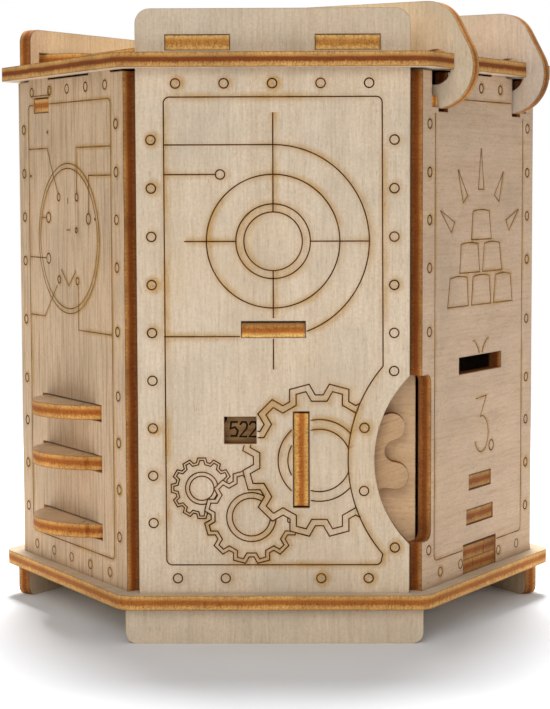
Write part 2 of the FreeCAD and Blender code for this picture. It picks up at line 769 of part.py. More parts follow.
def bolt():
    """Flat slider. Its tail shows in the left front wall, its nose enters the lid's tongue."""
    head_in, head_out = BOLT_HEAD_N
    tail_end = WALL_OUT - END_SET_BACK
    plate = deck_plate([
        (BOLT_NOSE_END, BOLT_NOSE_U[0]),
        (head_in, BOLT_NOSE_U[0]),
        (head_in, BOLT_HEAD_U[0]),
        (tail_end, BOLT_TAIL_U[0]),
        (tail_end, BOLT_TAIL_U[1]),
        (head_out, BOLT_TAIL_U[1]),
        (head_out, BOLT_HEAD_U[1]),
        (head_in, BOLT_HEAD_U[1]),
        (head_in, BOLT_NOSE_U[1]),
        (BOLT_NOSE_END, BOLT_NOSE_U[1]),
    ], BOLT_Z)
    bar_way = box(
        widened(BAR_STEM_N, BAR_WAY_PLAY),
        widened((BAR_U - PLY / 2, BAR_U + PLY / 2), BAR_WAY_PLAY),
        widened((BOLT_Z, BOLT_Z + PLY), PAST),
    )
    return turned(plate.cut(bar_way), LEFT_FRONT)


def hanger_spans():
    """Where the two hangers stand, either side of the bolt's head."""
    left = BOLT_HEAD_U[0] - HANGER_GAP
    right = BOLT_HEAD_U[1] + HANGER_GAP
    return [(left - PLY, left), (right, right + PLY)]


def bolt_tray():
    spans = hanger_spans()
    inner = (spans[0][1] + FACE_SLIP, spans[1][0] - FACE_SLIP)
    tray = deck_plate(rectangle(TRAY_N, inner), TRAY_Z)
    z_span = (TRAY_Z, TRAY_Z + PLY)
    tabs = [box(TRAY_TAB_N, (spans[0][0], inner[0] + PAST), z_span)]
    tabs.append(box(TRAY_TAB_N, (inner[1] - PAST, spans[1][1]), z_span))
    tray = join_all(tray, tabs)
    return turned(tray.cut(stem_slot(widened(z_span, PAST))), LEFT_FRONT)


def bolt_hanger(span):
    middle = (span[0] + span[1]) / 2
    low = TRAY_Z - PLY
    plate = rib_plate([
        (TRAY_N[0], low, SMALL_CORNER),
        (TRAY_N[1], low, SMALL_CORNER),
        (TRAY_N[1], CEILING),
        (HANGER_TENON_N[1], CEILING),
        (HANGER_TENON_N[1], DECK),
        (HANGER_TENON_N[0], DECK),
        (HANGER_TENON_N[0], CEILING),
        (TRAY_N[0], CEILING),
    ], middle)
    window = box(
        widened(TRAY_TAB_N, SLIP),
        widened(span, PAST),
        widened((TRAY_Z, TRAY_Z + PLY), FACE_SLIP),
    )
    return turned(plate.cut(window), LEFT_FRONT)


# ---------------------------------------------------------------- lid and hinge


def tangent_points(first, first_radius, second, second_radius):
    """Where a straight line touches two circles on their right-hand side, going down."""
    dx = second[0] - first[0]
    dz = second[1] - first[1]
    gap = math.hypot(dx, dz)
    along = (dx / gap, dz / gap)
    across = (-along[1], along[0])
    lean = (first_radius - second_radius) / gap
    side = math.sqrt(1 - lean * lean)
    outward = (along[0] * lean + across[0] * side, along[1] * lean + across[1] * side)
    start = (first[0] + outward[0] * first_radius, first[1] + outward[1] * first_radius)
    end = (second[0] + outward[0] * second_radius, second[1] + outward[1] * second_radius)
    return start, end


def around(centre, radius, angle):
    a = math.radians(angle)
    return on_rib(centre[0] + radius * math.cos(a), centre[1] + radius * math.sin(a))


def angle_of(centre, point):
    return math.degrees(math.atan2(point[1] - centre[1], point[0] - centre[0]))


def arc(centre, radius, start, end):
    middle = (start + end) / 2
    return Part.Arc(
        around(centre, radius, start),
        around(centre, radius, middle),
        around(centre, radius, end),
    ).toShape()


def hook_arm(u_middle):
    """A lid arm that ends in a hook round the top plate's edge, its jaw inside the wall's slot."""
    hinge = (HINGE_N, HINGE_Z)
    shoulder = HOOK_SHOULDER
    leave, meet = tangent_points(shoulder, HOOK_SHOULDER_RADIUS, hinge, HOOK_RADIUS)
    top = shoulder[1] + HOOK_SHOULDER_RADIUS
    tip = HOOK_TIP_ANGLE - 360
    lid_top = LID_Z + PLY
    arm_end_z = lid_top + ARM_END_HEIGHT
    sole_angle = math.degrees(math.asin((LID_Z - HINGE_Z) / HOOK_BORE))
    bore_meets_sole = 180 - sole_angle
    step_n = LID_HINGE_SIDE + ARM_STEP
    corners = [
        around(hinge, HOOK_BORE, bore_meets_sole),
        on_rib(step_n, LID_Z),
        on_rib(step_n, lid_top),
        on_rib(ARM_END, lid_top),
        on_rib(ARM_END, arm_end_z),
    ]
    edges = [arc(hinge, HOOK_BORE, tip, bore_meets_sole)]
    for a, b in zip(corners, corners[1:]):
        edges.append(Part.LineSegment(a, b).toShape())
    heel_radius = top - arm_end_z
    heel = (ARM_END + heel_radius, arm_end_z)
    edges.append(arc(heel, heel_radius, 180, 90))
    edges.append(Part.LineSegment(on_rib(heel[0], top), on_rib(shoulder[0], top)).toShape())
    edges.append(arc(shoulder, HOOK_SHOULDER_RADIUS, 90, angle_of(shoulder, leave)))
    edges.append(Part.LineSegment(on_rib(*leave), on_rib(*meet)).toShape())
    edges.append(arc(hinge, HOOK_RADIUS, angle_of(hinge, meet), tip))
    edges.append(Part.LineSegment(around(hinge, HOOK_RADIUS, tip), around(hinge, HOOK_BORE, tip)).toShape())
    face = Part.Face(Part.Wire(Part.__sortEdges__(edges)))
    plate = face.extrude(FreeCAD.Vector(0, PLY, 0))
    plate.translate(FreeCAD.Vector(0, u_middle - PLY / 2, 0))
    u_span = (u_middle - PLY / 2, u_middle + PLY / 2)
    tenons = [box(span, u_span, (LID_Z, lid_top)) for span in ARM_TENONS]
    return turned(join_all(plate, tenons), RIGHT_FRONT)


def lid_plate():
    apothems = {side: LID_SIDE for side in SIDES}
    apothems[RIGHT_FRONT] = LID_HINGE_SIDE
    plate = deck_plate(hexagon(apothems, LID_CORNER), LID_Z)
    through = widened((LID_Z, LID_Z + PLY), PAST)
    cuts = []
    for middle in (-HOOK_U, HOOK_U):
        u_span = widened((middle - PLY / 2, middle + PLY / 2), FACE_SLIP)
        for span in ARM_TENONS:
            cuts.append(turned(box(widened(span, SLIP), u_span, through), RIGHT_FRONT))
    cuts += tenon_slots(LEFT_FRONT, [TONGUE_TENON_U], through, TONGUE_N)
    return cut_all(plate, cuts)


def lid_tongue():
    """Hangs under the lid. The bolt's nose enters its hole."""
    tongue = wall_plate(rectangle(TONGUE_U, (TONGUE_BOTTOM, LID_Z)), TONGUE_N[1])
    tongue = join_all(tongue, [box(TONGUE_N, TONGUE_TENON_U, (LID_Z, LID_Z + PLY))])
    hole_z = widened((BOLT_Z, BOLT_Z + PLY), TONGUE_HOLE_PLAY)
    hole = box(widened(TONGUE_N, PAST), TONGUE_HOLE_U, hole_z)
    return turned(tongue.cut(hole), LEFT_FRONT)


def hinge_cheek(span):
    """Upright plate beside a hook that keeps it from sliding sideways. Its tab shows in the wall."""
    middle = (span[0] + span[1]) / 2
    wall_side = WALL_IN - SLIP
    cheek = rib_plate([
        (CHEEK_N, CHEEK_BOTTOM, SMALL_CORNER),
        (wall_side, CHEEK_BOTTOM),
        (wall_side, CHEEK_TAB_Z[0]),
        (WALL_OUT - END_SET_BACK, CHEEK_TAB_Z[0]),
        (WALL_OUT - END_SET_BACK, CHEEK_TAB_Z[1]),
        (CHEEK_STEP_N, CHEEK_TAB_Z[1]),
        (CHEEK_STEP_N, CHEEK_STEP_TOP),
        (CHEEK_BACK_N, CHEEK_STEP_TOP),
        (CHEEK_BACK_N, CEILING),
        (CHEEK_TENON_N[1], CEILING),
        (CHEEK_TENON_N[1], DECK),
        (CHEEK_TENON_N[0], DECK),
        (CHEEK_TENON_N[0], CEILING),
        (CHEEK_N, CEILING),
    ], middle)
    return turned(cheek, RIGHT_FRONT)


# ---------------------------------------------------------------- all the pieces


def pieces():
    left_hanger, right_hanger = hanger_spans()
    parts = {
        "base_plate": base_plate(),
        "top_plate": top_plate(),
        "front_wall": front_wall(),
        "left_front_wall": left_front_wall(),
        "right_front_wall": right_front_wall(),
        "left_back_wall": left_back_wall(),
        "right_back_wall": right_back_wall(),
        "back_wall": back_wall(),
        "front_key": key(FRONT),
        "left_back_key": key(LEFT_BACK),
        "right_back_key": key(RIGHT_BACK),
        "mid_shelf": mid_shelf(),
        "floor_lower_front": floor_layer(FLOOR, LOWER_SEAM_U, True),
        "floor_lower_back": floor_layer(FLOOR, LOWER_SEAM_U, False),
        "floor_upper_front": floor_layer(FLOOR + PLY, UPPER_SEAM_U, True),
        "floor_upper_back": floor_layer(FLOOR + PLY, UPPER_SEAM_U, False),
        "step_wall": step_wall(),
        "number_wheel": number_wheel(),
        "wheel_backplate": wheel_backplate(),
        "wheel_rib": wheel_rib(),
        "dial_axle": dial_axle(),
        "dial_spacers": dial_spacers(),
        "lock_bar": lock_bar(),
        "bolt": bolt(),
        "bolt_tray": bolt_tray(),
        "bolt_hanger_left": bolt_hanger(left_hanger),
        "bolt_hanger_right": bolt_hanger(right_hanger),
        "lid_plate": lid_plate(),
        "lid_arm_front": hook_arm(-HOOK_U),
        "lid_arm_back": hook_arm(HOOK_U),
        "lid_tongue": lid_tongue(),
        "hinge_cheek_front": hinge_cheek(mirrored(CHEEK_U)),
        "hinge_cheek_back": hinge_cheek(CHEEK_U),
    }
    for name, low in DIAL_BOTTOMS.items():
        parts[name] = code_dial(low, name != "code_dial_top")
    for name, step in STEPS.items():
        parts[name] = coin_step(step)
    return parts


def main():
    os.makedirs("parts", exist_ok=True)
    for name, shape in pieces().items():
        shape.exportStep("parts/" + name + ".step")
        print(name, len(shape.Solids), round(shape.Volume, 1), shape.isValid())


main()
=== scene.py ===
import math

import bpy
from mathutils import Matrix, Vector


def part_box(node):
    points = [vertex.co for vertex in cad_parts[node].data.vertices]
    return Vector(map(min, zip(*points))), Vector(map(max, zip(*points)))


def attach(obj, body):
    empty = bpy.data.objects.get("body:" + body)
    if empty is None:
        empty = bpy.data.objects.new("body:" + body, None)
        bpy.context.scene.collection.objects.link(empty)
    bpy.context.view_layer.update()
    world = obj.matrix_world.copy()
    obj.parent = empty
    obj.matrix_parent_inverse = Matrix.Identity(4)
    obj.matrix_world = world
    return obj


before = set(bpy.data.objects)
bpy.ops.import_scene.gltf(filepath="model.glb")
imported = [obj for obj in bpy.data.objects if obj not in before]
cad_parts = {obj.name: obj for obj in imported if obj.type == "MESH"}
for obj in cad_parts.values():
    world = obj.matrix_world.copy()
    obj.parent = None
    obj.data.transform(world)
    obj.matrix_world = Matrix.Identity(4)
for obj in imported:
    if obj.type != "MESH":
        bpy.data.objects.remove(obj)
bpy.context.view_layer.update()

# ---- sizes, in millimetres unless a name says otherwise ----
MM = 0.001
FRONT = -90
RIGHT_FRONT = -30
RIGHT_BACK = 30
BACK = 90
LEFT_BACK = 150
LEFT_FRONT = 210
UPRIGHT = Vector((0, 0, 1))

WALL_OUT = -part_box("front_wall")[0].y / MM
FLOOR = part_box("base_plate")[1].z / MM
PLY = (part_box("base_plate")[1].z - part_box("base_plate")[0].z) / MM
WHEEL_U = (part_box("wheel_rib")[0].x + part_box("wheel_rib")[1].x) / 2 / MM
WHEEL_Z = 50.44        # the wheel's axle, above the table
WHEEL_FACE = -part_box("number_wheel")[0].y / MM

LINE_WIDTH = 0.34
FAINT_WIDTH = 0.29
RIVET_LINE_WIDTH = 0.36
RIVET_LIMIT = 3.5      # a closed ring narrower than this is a rivet
SCORCH_WIDTH = 3.6
FAINT_SCORCH_WIDTH = 2.6
SHARED_STAIN = 1.2     # lines closer together than this have one stain between them
SCORCH_SHIFT = 0.45    # of the stains to the right of their lines
LINE_LIFT = 0.05       # half the thickness of an engraved line
SCORCH_LIFT = 0.02
STAIN_STEP = 0.0004    # each stain lies this much above the last, so that no two share a plane
STAIN_LEVELS = 20
STEP = 0.25            # between the points of a curve
FEWEST_STEPS = 6       # in any arc
MOST_STEPS = 240
SHORTEST = 4           # a cut-off piece of line with no more points than this is dropped
STRAIGHT = 1e-6        # a smaller turn than this counts as none
SAME_PLACE = 1e-6      # points closer than this are one
MITRE_LIMIT = 1.6      # how many times its own width a line may get at a corner
DOUBLED_BACK = 0.5     # two unit normals that add up to less: the line turns back on itself


# ---------------------------------------------------------------- shapes on a wall


def on_side(side, n, u, z):
    """A point n out from the centre line, u to the right and z above the table, in metres."""
    a = math.radians(side)
    return Vector((n * math.cos(a) - u * math.sin(a), n * math.sin(a) + u * math.cos(a), z)) * MM


def arc_points(centre, radius, start, end):
    """Points round an arc, angles in degrees, close enough together to look round."""
    length = abs(end - start) / 360 * 2 * math.pi * radius
    count = min(max(FEWEST_STEPS, int(length / STEP) + 1), MOST_STEPS)
    points = []
    for i in range(count + 1):
        a = math.radians(start + (end - start) * i / count)
        points.append((centre[0] + radius * math.cos(a), centre[1] + radius * math.sin(a)))
    return points


def circle(centre, radius):
    return arc_points(centre, radius, 0, 360)


def rounded_frame(u_span, z_span, radius):
    """A closed frame with rounded corners, as one run of points."""
    low_u, high_u = u_span
    low_z, high_z = z_span
    corners = [
        ((high_u - radius, high_z - radius), 0),
        ((low_u + radius, high_z - radius), 90),
        ((low_u + radius, low_z + radius), 180),
        ((high_u - radius, low_z + radius), 270),
    ]
    points = []
    for centre, begin in corners:
        points += arc_points(centre, radius, begin, begin + 90)
    return points + [points[0]]


def inside(point, outline):
    """Whether a point lies inside a closed outline."""
    u, z = point
    hit = False
    for (u0, z0), (u1, z1) in zip(outline, outline[1:] + outline[:1]):
        if (z0 > z) != (z1 > z) and u < u0 + (z - z0) / (z1 - z0) * (u1 - u0):
            hit = not hit
    return hit


def box_outline(u_span, z_span):
    return [
        (u_span[0], z_span[0]),
        (u_span[1], z_span[0]),
        (u_span[1], z_span[1]),
        (u_span[0], z_span[1]),
    ]


def finely(points):
    """The same run with extra points, so that it can be cut anywhere."""
    fine = [points[0]]
    for (u0, z0), (u1, z1) in zip(points, points[1:]):
        count = max(1, int(math.hypot(u1 - u0, z1 - z0) / STEP))
        for i in range(1, count + 1):
            fine.append((u0 + (u1 - u0) * i / count, z0 + (z1 - z0) * i / count))
    return fine


def thinned(points):
    """Drops the points that lie on a straight stretch."""
    kept = [points[0]]
    for before, here, after in zip(points, points[1:], points[2:]):
        ahead = (after[0] - here[0], after[1] - here[1])
        behind = (here[0] - before[0], here[1] - before[1])
        turn = abs(ahead[0] * behind[1] - ahead[1] * behind[0])
        if turn > STRAIGHT:
            kept.append(here)
    return kept + [points[-1]]


def clipped(runs, hidden):
    """The stretches of each run that aren't inside any hidden outline."""
    shown = []
    for run in runs:
        stretch = []
        for point in finely(run):
            if any(test(point) for test in hidden):
                if len(stretch) > SHORTEST:
                    shown.append(thinned(stretch))
                stretch = []
            else:
                stretch.append(point)
        if len(stretch) > SHORTEST:
            shown.append(thinned(stretch))
    return shown


def under(outline):
    """A test for points that an outline covers."""
    return lambda point: inside(point, outline)


def within(centre, radius):
    """A test for points inside a circle."""
    return lambda point: math.dist(point, centre) < radius


# ---------------------------------------------------------------- engraved gears

GEAR_TEETH = 12
TOOTH_TIP_HALF = 7.5       # degrees
TOOTH_ROOT_HALF = 11.5     # degrees
ROOT_SHARE = 0.855         # of the tip radius
RIM_SHARE = 0.083          # distance between a gear's two outlines, of the tip radius


def gear_outline(centre, tip, first):
    """A gear's toothed edge, its first tooth at the angle first."""
    points = []
    for i in range(GEAR_TEETH):
        middle = first + i * 360 / GEAR_TEETH
        profile = (
            (-TOOTH_ROOT_HALF, ROOT_SHARE),
            (-TOOTH_TIP_HALF, 1.0),
            (TOOTH_TIP_HALF, 1.0),
            (TOOTH_ROOT_HALF, ROOT_SHARE),
        )
        for offset, share in profile:
            a = math.radians(middle + offset)
            radius = tip * share
            points.append((centre[0] + radius * math.cos(a), centre[1] + radius * math.sin(a)))
    return points


def inset(outline, distance):
    """The outline moved inwards by a distance, corners kept sharp."""
    moved = []
    count = len(outline)
    for i in range(count):
        (u0, z0), (u1, z1), (u2, z2) = outline[i - 1], outline[i], outline[(i + 1) % count]
        d0 = Vector((u1 - u0, z1 - z0)).normalized()
        d1 = Vector((u2 - u1, z2 - z1)).normalized()
        n0 = Vector((-d0.y, d0.x))
        n1 = Vector((-d1.y, d1.x))
        bisector = (n0 + n1).normalized()
        reach = distance / bisector.dot(n0)
        moved.append((u1 + bisector.x * reach, z1 + bisector.y * reach))
    return moved


def gear(centre, tip, first, rings):
    """A gear's outer edge, and everything that is engraved of it."""
    outer = gear_outline(centre, tip, first)
    inner = inset(outer, tip * RIM_SHARE)
    runs = [outer + outer[:1], inner + inner[:1]]
    runs += [circle(centre, radius) for radius in rings]
    return outer, runs


# ---------------------------------------------------------------- drawings
# Their heights are above the base plate's top.

RIVET_RADIUS = 1.25
FRAME_CORNER = 1.6


def rivets_at(places):
    return [circle(place, RIVET_RADIUS) for place in places]


def spaced(first, pitch, count):
    return [first + pitch * i for i in range(count)]


RIVET_PITCH = 12.93
NOTCH_CENTRE = (59.6, 36.2)
NOTCH_BAND_RADIUS = 39.5
NOTCH_BAND_TOP = 61.8


def front_frame():
    """The frame follows the finger notch on its right side."""
    half = 29.2
    low, high = 7.7, 134.0
    lean = math.degrees(math.asin((NOTCH_BAND_TOP - NOTCH_CENTRE[1]) / NOTCH_BAND_RADIUS))
    r = FRAME_CORNER
    points = arc_points((half - r, high - r), r, 0, 90)
    points += arc_points((-half + r, high - r), r, 90, 180)
    points += arc_points((-half + r, low + r), r, 180, 270)
    points += arc_points((half - r, low + r), r, 270, 360)
    points += arc_points(NOTCH_CENTRE, NOTCH_BAND_RADIUS, 180 + lean, 180 - lean)
    return points + [points[0]]


def front_drawing():
    """A target, three gears in mesh, and a border that follows the finger notch."""
    target = (0.0, 95.5)
    big_centre = (12.3, 36.25)
    middle_centre = (-6.15, 20.8)
    small_centre = (-19.55, 28.7)
    big_outer, big = gear(big_centre, 20.9, 15, (11.15, 8.5))
    middle_outer, middle = gear(middle_centre, 12.8, 15, (6.7, 5.15))
    small = gear(small_centre, 8.35, 0, (4.4, 3.3))[1]
    band = within(NOTCH_CENTRE, NOTCH_BAND_RADIUS)
    shelf_slot = under(box_outline((-8.9, 8.8), (69.3, 74.6)))
    rib_slot = under(box_outline((4.9, 9.95), (23.1, 49.8)))
    window = under(box_outline((-13.6, -4.5), (40.6, 48.4)))
    cut = [shelf_slot, rib_slot, window]

    runs = clipped(big, cut + [band])
    runs += clipped(middle, cut + [band, under(big_outer)])
    runs += clipped(small, cut + [under(big_outer), under(middle_outer)])

    rings = [circle(target, radius) for radius in (7.85, 10.0, 17.9)]
    sweep = arc_points(target, 25.8, 90, -70.5)
    rings.append([(-29.3, 121.3)] + sweep)
    cross = [
        [(0, 129.9), (0, 103.35)],
        [(0, 87.65), (0, 61)],
        [(-23.9, 95.5), (-10, 95.5)],
        [(10, 95.5), (25.7, 95.5)],
        [(-29.5, 69.9), (-9, 69.9)],
        [(-29.4, 113.4), (-15.4, 113.4)],
    ]
    runs += clipped(rings + cross + [circle((-14.15, 113.4), RIVET_RADIUS)], cut)
    runs += [front_frame()]

    left = [(-32.7, z) for z in spaced(19.2, RIVET_PITCH, 9)]
    right = [(32.5, z) for z in spaced(70.8, RIVET_PITCH, 5)]
    right += [(32.5, 60.5), (24.5, 45.1), (24.4, 27.9), (32.75, 12.4)]
    top = [(u, 137.6) for u in spaced(-26.0, RIVET_PITCH, 5)]
    bottom = [(u, 4.0) for u in (-26.2, -13.2, 12.8, 25.65)]
    return runs + rivets_at(left + right + top + bottom)


def left_front_drawing():
    """A round face with wires leading to it, cut by the three dial slots."""
    middle = (-0.8, 95.5)
    dots = ((-7.35, 107.3), (5.4, 107.3), (-7.65, 83.6), (5.4, 83.6))
    stops = ((-15.0, 101.4), (13.4, 101.3), (-15.2, 89.5))
    runs = [circle(middle, radius) for radius in (21.4, 20.0)]
    runs += [circle(dot, 1.05) for dot in dots]
    runs += [circle(stop, 1.45) for stop in stops]
    runs += [circle(mark, 0.25) for mark in ((-28.0, 113.5), (-15.2, 126.1), (17.8, 101.3))]
    runs += [circle((4.9, 98.0), 0.7)]
    runs += [
        [(-6.1, 86.6), (-0.8, 82.0), (4.2, 86.4)],
        [(-29.4, 121.4), (-15.35, 121.4), (-11.9, 115.0), (-7.8, 108.3)],
        [(28.6, 121.3), (5.3, 121.3), (5.4, 108.4)],
        [(28.7, 113.4), (13.7, 113.4), (13.4, 103.0)],
        [(-20.3, 101.4), (-16.5, 101.4)],
        [(-29.5, 89.6), (-16.7, 89.6)],
        [(-29.3, 72.5), (-18.4, 72.5), (-9.1, 81.9)],
        [(5.8, 82.2), (5.8, 69.7), (28.2, 69.7)],
        [(-25.2, 138.8), (-25.2, 136.8), (-13.7, 136.8), (-13.7, 138.8)],
        [(-1.0, 107.2), (-1.0, 105.4)],
        [(-2.0, 98.0), (0.8, 98.0)],
    ]
    slots = [under(box_outline((-25.2, -13.7), (131.5, 136.5)))]
    for low in (45.3, 31.05, 11.9):
        slots.append(under(box_outline((-21.1, 21.1), (low - 0.5, low + PLY + 0.5))))
    runs = clipped(runs + [rounded_frame((-29.3, 28.6), (7.45, 134.2), FRAME_CORNER)], slots)
    heights = (127.2, 114.2, 101.3, 88.3, 70.8, 53.1, 40.3, 27.4, 14.3)
    rivets = [(u, z) for u in (-33.0, 32.0) for z in heights]
    rivets += [(u, 138.0) for u in (-26.5, -13.3, -0.7, 12.3, 25.2)]
    rivets += [(u, 3.5) for u in (-26.8, -13.8, -1.1, 12.1, 25.4)]
    return runs + rivets_at(rivets)


BULLION_BOW = 0.45
BULLION_STEPS = 8
THREE_BOWL_FROM = 78       # degrees
THREE_BOWL_SWEEP = 238     # degrees, clockwise
THREE_BOWL_STEPS = 24


def numeral_three():
    """A flat-topped figure three drawn with one line."""
    middle = (1.3, 39.2)
    reach = (4.6, 5.2)
    points = [(-2.6, 49.6), (4.4, 50.0), (0.4, 44.2), (1.9, 44.4)]
    for i in range(THREE_BOWL_STEPS + 1):
        a = math.radians(THREE_BOWL_FROM - THREE_BOWL_SWEEP * i / THREE_BOWL_STEPS)
        points.append((middle[0] + reach[0] * math.cos(a), middle[1] + reach[1] * math.sin(a)))
    return points


def trapezoid(low_span, high_span, z_span):
    """A bar of bullion, its top edge bowed a little."""
    low, high = z_span
    left, right = high_span
    top = []
    for i in range(BULLION_STEPS + 1):
        share = i / BULLION_STEPS
        top.append((left + (right - left) * share, high + BULLION_BOW * 4 * share * (1 - share)))
    return [(low_span[0], low)] + top + [(low_span[1], low), (low_span[0], low)]


def right_front_drawing():
    """A stack of six bars with rays above it, and a figure three over the steps."""
    runs = [
        [(-1.5, 109.2), (0.15, 120.8), (2.2, 109.2), (-1.5, 109.2)],
        [(-11.5, 105.4), (-14.9, 114.7), (-8.65, 107.4), (-11.5, 105.4)],
        [(12.6, 105.6), (15.5, 114.3), (9.3, 107.5), (12.6, 105.6)],
        [(-19.0, 97.3), (-26.0, 103.5), (-16.9, 100.1), (-19.0, 97.3)],
        [(19.6, 97.2), (26.3, 103.2), (17.4, 100.2), (19.6, 97.2)],
        trapezoid((-6.0, 7.4), (-5.0, 5.9), (95.0, 103.0)),
        trapezoid((-13.5, -0.4), (-12.7, -1.7), (85.8, 93.8)),
        trapezoid((1.5, 14.7), (2.6, 13.0), (85.8, 93.8)),
        trapezoid((-21.2, -7.9), (-19.7, -8.7), (76.5, 84.5)),
        trapezoid((-5.8, 7.2), (-4.8, 6.1), (76.5, 84.5)),
        trapezoid((9.0, 22.2), (10.3, 20.7), (76.5, 84.5)),
        [(-4.9, 66.3), (-3.7, 66.3), (-2.3, 65.2), (-1.1, 63.8), (-0.5, 62.5)],
        [(5.8, 66.6), (4.6, 66.3), (3.1, 65.2), (1.9, 63.8), (1.4, 62.5)],
        numeral_three(),
        circle((8.05, 35.2), 1.5),
    ]
    cut = [
        under(box_outline((-14.0, 15.0), (57.1, 62.4))),
        under(box_outline((-10.8, 11.8), (-1, 8.8))),
        under(box_outline((-40, -30.9), (13.2, 59.2))),
        under(box_outline((20.9, 31.6), (130.0, 145.0))),
        under(box_outline((-31.6, -20.9), (130.0, 145.0))),
    ]
    frame_run = rounded_frame((-29.2, 29.2), (7.1, 134.0), FRAME_CORNER)
    runs = clipped(runs + [frame_run], cut)
    rivets = [(-32.5, z) for z in (126.9, 113.9, 101.0, 88.0, 70.6, 10.6)]
    rivets += [(32.7, z) for z in (127.0, 114.0, 101.2, 88.3, 70.6, 53.05, 40.3, 27.3, 14.2)]
    rivets += [(u, 137.6) for u in (-12.9, 0.1, 13.05)]
    rivets += [(u, 3.5) for u in (-25.3, -12.25, 13.45, 26.4)]
    return runs + rivets_at(rivets)


def plain_drawing(has_shelf_tab):
    """The unseen walls: the same frame and rivets with nothing inside."""
    cut = [under(box_outline((-9.0, 9.0), (69.3, 74.6)))] if has_shelf_tab else []
    runs = clipped([rounded_frame((-29.2, 29.2), (7.5, 134.0), FRAME_CORNER)], cut)
    rivets = [(u, z) for u in (-32.7, 32.7) for z in spaced(19.2, RIVET_PITCH, 9)]
    rivets += [(u, z) for u in spaced(-26.0, RIVET_PITCH, 5) for z in (4.0, 137.6)]
    return runs + rivets_at(rivets)


CIPHER_RINGS = (9.0, 11.0, 20.0)
SPOKES = 8


def cipher_rings_drawing():
    """Nested rings and spokes for the tall unseen walls."""
    middle = (0.0, 103.0)
    runs = [circle(middle, radius) for radius in CIPHER_RINGS]
    for i in range(SPOKES):
        a = math.radians((i + 0.5) * 360 / SPOKES)
        spoke = []
        for radius in CIPHER_RINGS[1:]:
            spoke.append((middle[0] + radius * math.cos(a), middle[1] + radius * math.sin(a)))
        runs.append(spoke)
    return runs + plain_drawing(True)


# ---------------------------------------------------------------- laying lines on a surface


def wall_place(side, n_out):
    """Turns a point of a drawing into a place on a side, n_out from the centre line."""
    return lambda u, z, lift: on_side(side, n_out + lift, u, z + FLOOR)


def run_frame(run):
    """For each point of a run: its place and the unit vector across the line, mitred."""
    closed = math.dist(run[0], run[-1]) < SAME_PLACE
    body = run[:-1] if closed else run
    count = len(body)
    places = []
    for i in range(count):
        here = Vector(body[i])
        if closed or 0 < i < count - 1:
            before = Vector(body[i - 1])
            after = Vector(body[(i + 1) % count])
        else:
            before = Vector(body[max(i - 1, 0)])
            after = Vector(body[min(i + 1, count - 1)])
        d0 = here - before if (here - before).length > SAME_PLACE else after - here
        d1 = after - here if (after - here).length > SAME_PLACE else here - before
        d0.normalize()
        d1.normalize()
        n0 = Vector((-d0.y, d0.x))
        n1 = Vector((-d1.y, d1.x))
        across = n0 + n1
        if across.length < DOUBLED_BACK:
            across = n0.copy()
        across.normalize()
        stretch = 1 / max(across.dot(n0), 1 / MITRE_LIMIT)
        places.append((here, across * stretch))
    return places, closed


def bar_faces(base, count, closed):
    """The faces of a square bar, from its count rings of four vertices that start at base."""
    faces = []
    for i in range(count if closed else count - 1):
        a = base + 4 * i
        b = base + 4 * ((i + 1) % count)
        for k in range(4):
            m = (k + 1) % 4
            faces.append((a + k, a + m, b + m, b + k))
    if not closed:
        end = base + 4 * (count - 1)
        faces.append((base + 3, base + 2, base + 1, base))
        faces.append((end, end + 1, end + 2, end + 3))
    return faces


def line_mesh(name, runs, place, width, lift):
    """Thin raised bars along the runs, each a closed solid."""
    verts = []
    faces = []
    for run in runs:
        places, closed = run_frame(run)
        base = len(verts)
        for here, across in places:
            for side, height in ((-1, -lift), (1, -lift), (1, lift), (-1, lift)):
                spot = here + across * (side * width / 2)
                verts.append(place(spot.x, spot.y, height))
        faces += bar_faces(base, len(places), closed)
    return new_object(name, verts, faces)


def apart(runs, gap):
    """The runs that don't keep close beside an earlier one."""
    kept = []
    for run in runs:
        beside = False
        for other in kept:
            points = finely(other)
            if all(min(math.dist(here, there) for there in points) < gap for here in run):
                beside = True
                break
        if not beside:
            kept.append(run)
    return kept


def scorch_mesh(name, runs, place, width, lift, shift):
    """Soft smoke stains along the runs, strongest down their middle line."""
    verts = []
    faces = []
    fade = []
    for index, run in enumerate(runs):
        places, closed = run_frame(run)
        base = len(verts)
        height = lift + STAIN_STEP * (index % STAIN_LEVELS)
        for here, across in places:
            for side in (-1, 0, 1):
                spot = here + across * (side * width / 2) + Vector((shift, 0))
                verts.append(place(spot.x, spot.y, height))
                fade.append(abs(side))
        count = len(places)
        last = count if closed else count - 1
        for i in range(last):
            a = base + 3 * i
            b = base + 3 * ((i + 1) % count)
            faces.append((a, a + 1, b + 1, b))
            faces.append((a + 1, a + 2, b + 2, b + 1))
    made = new_object(name, verts, faces)
    layer = made.data.attributes.new("fade", "FLOAT", "POINT")
    for i, value in enumerate(fade):
        layer.data[i].value = value
    return made


def new_object(name, verts, faces):
    """A mesh object in the scene."""
    mesh = bpy.data.meshes.new(name)
    mesh.from_pydata([tuple(v) for v in verts], [], faces)
    mesh.update()
    made = bpy.data.objects.new(name, mesh)
    bpy.context.scene.collection.objects.link(made)
    return made


# ---------------------------------------------------------------- materials


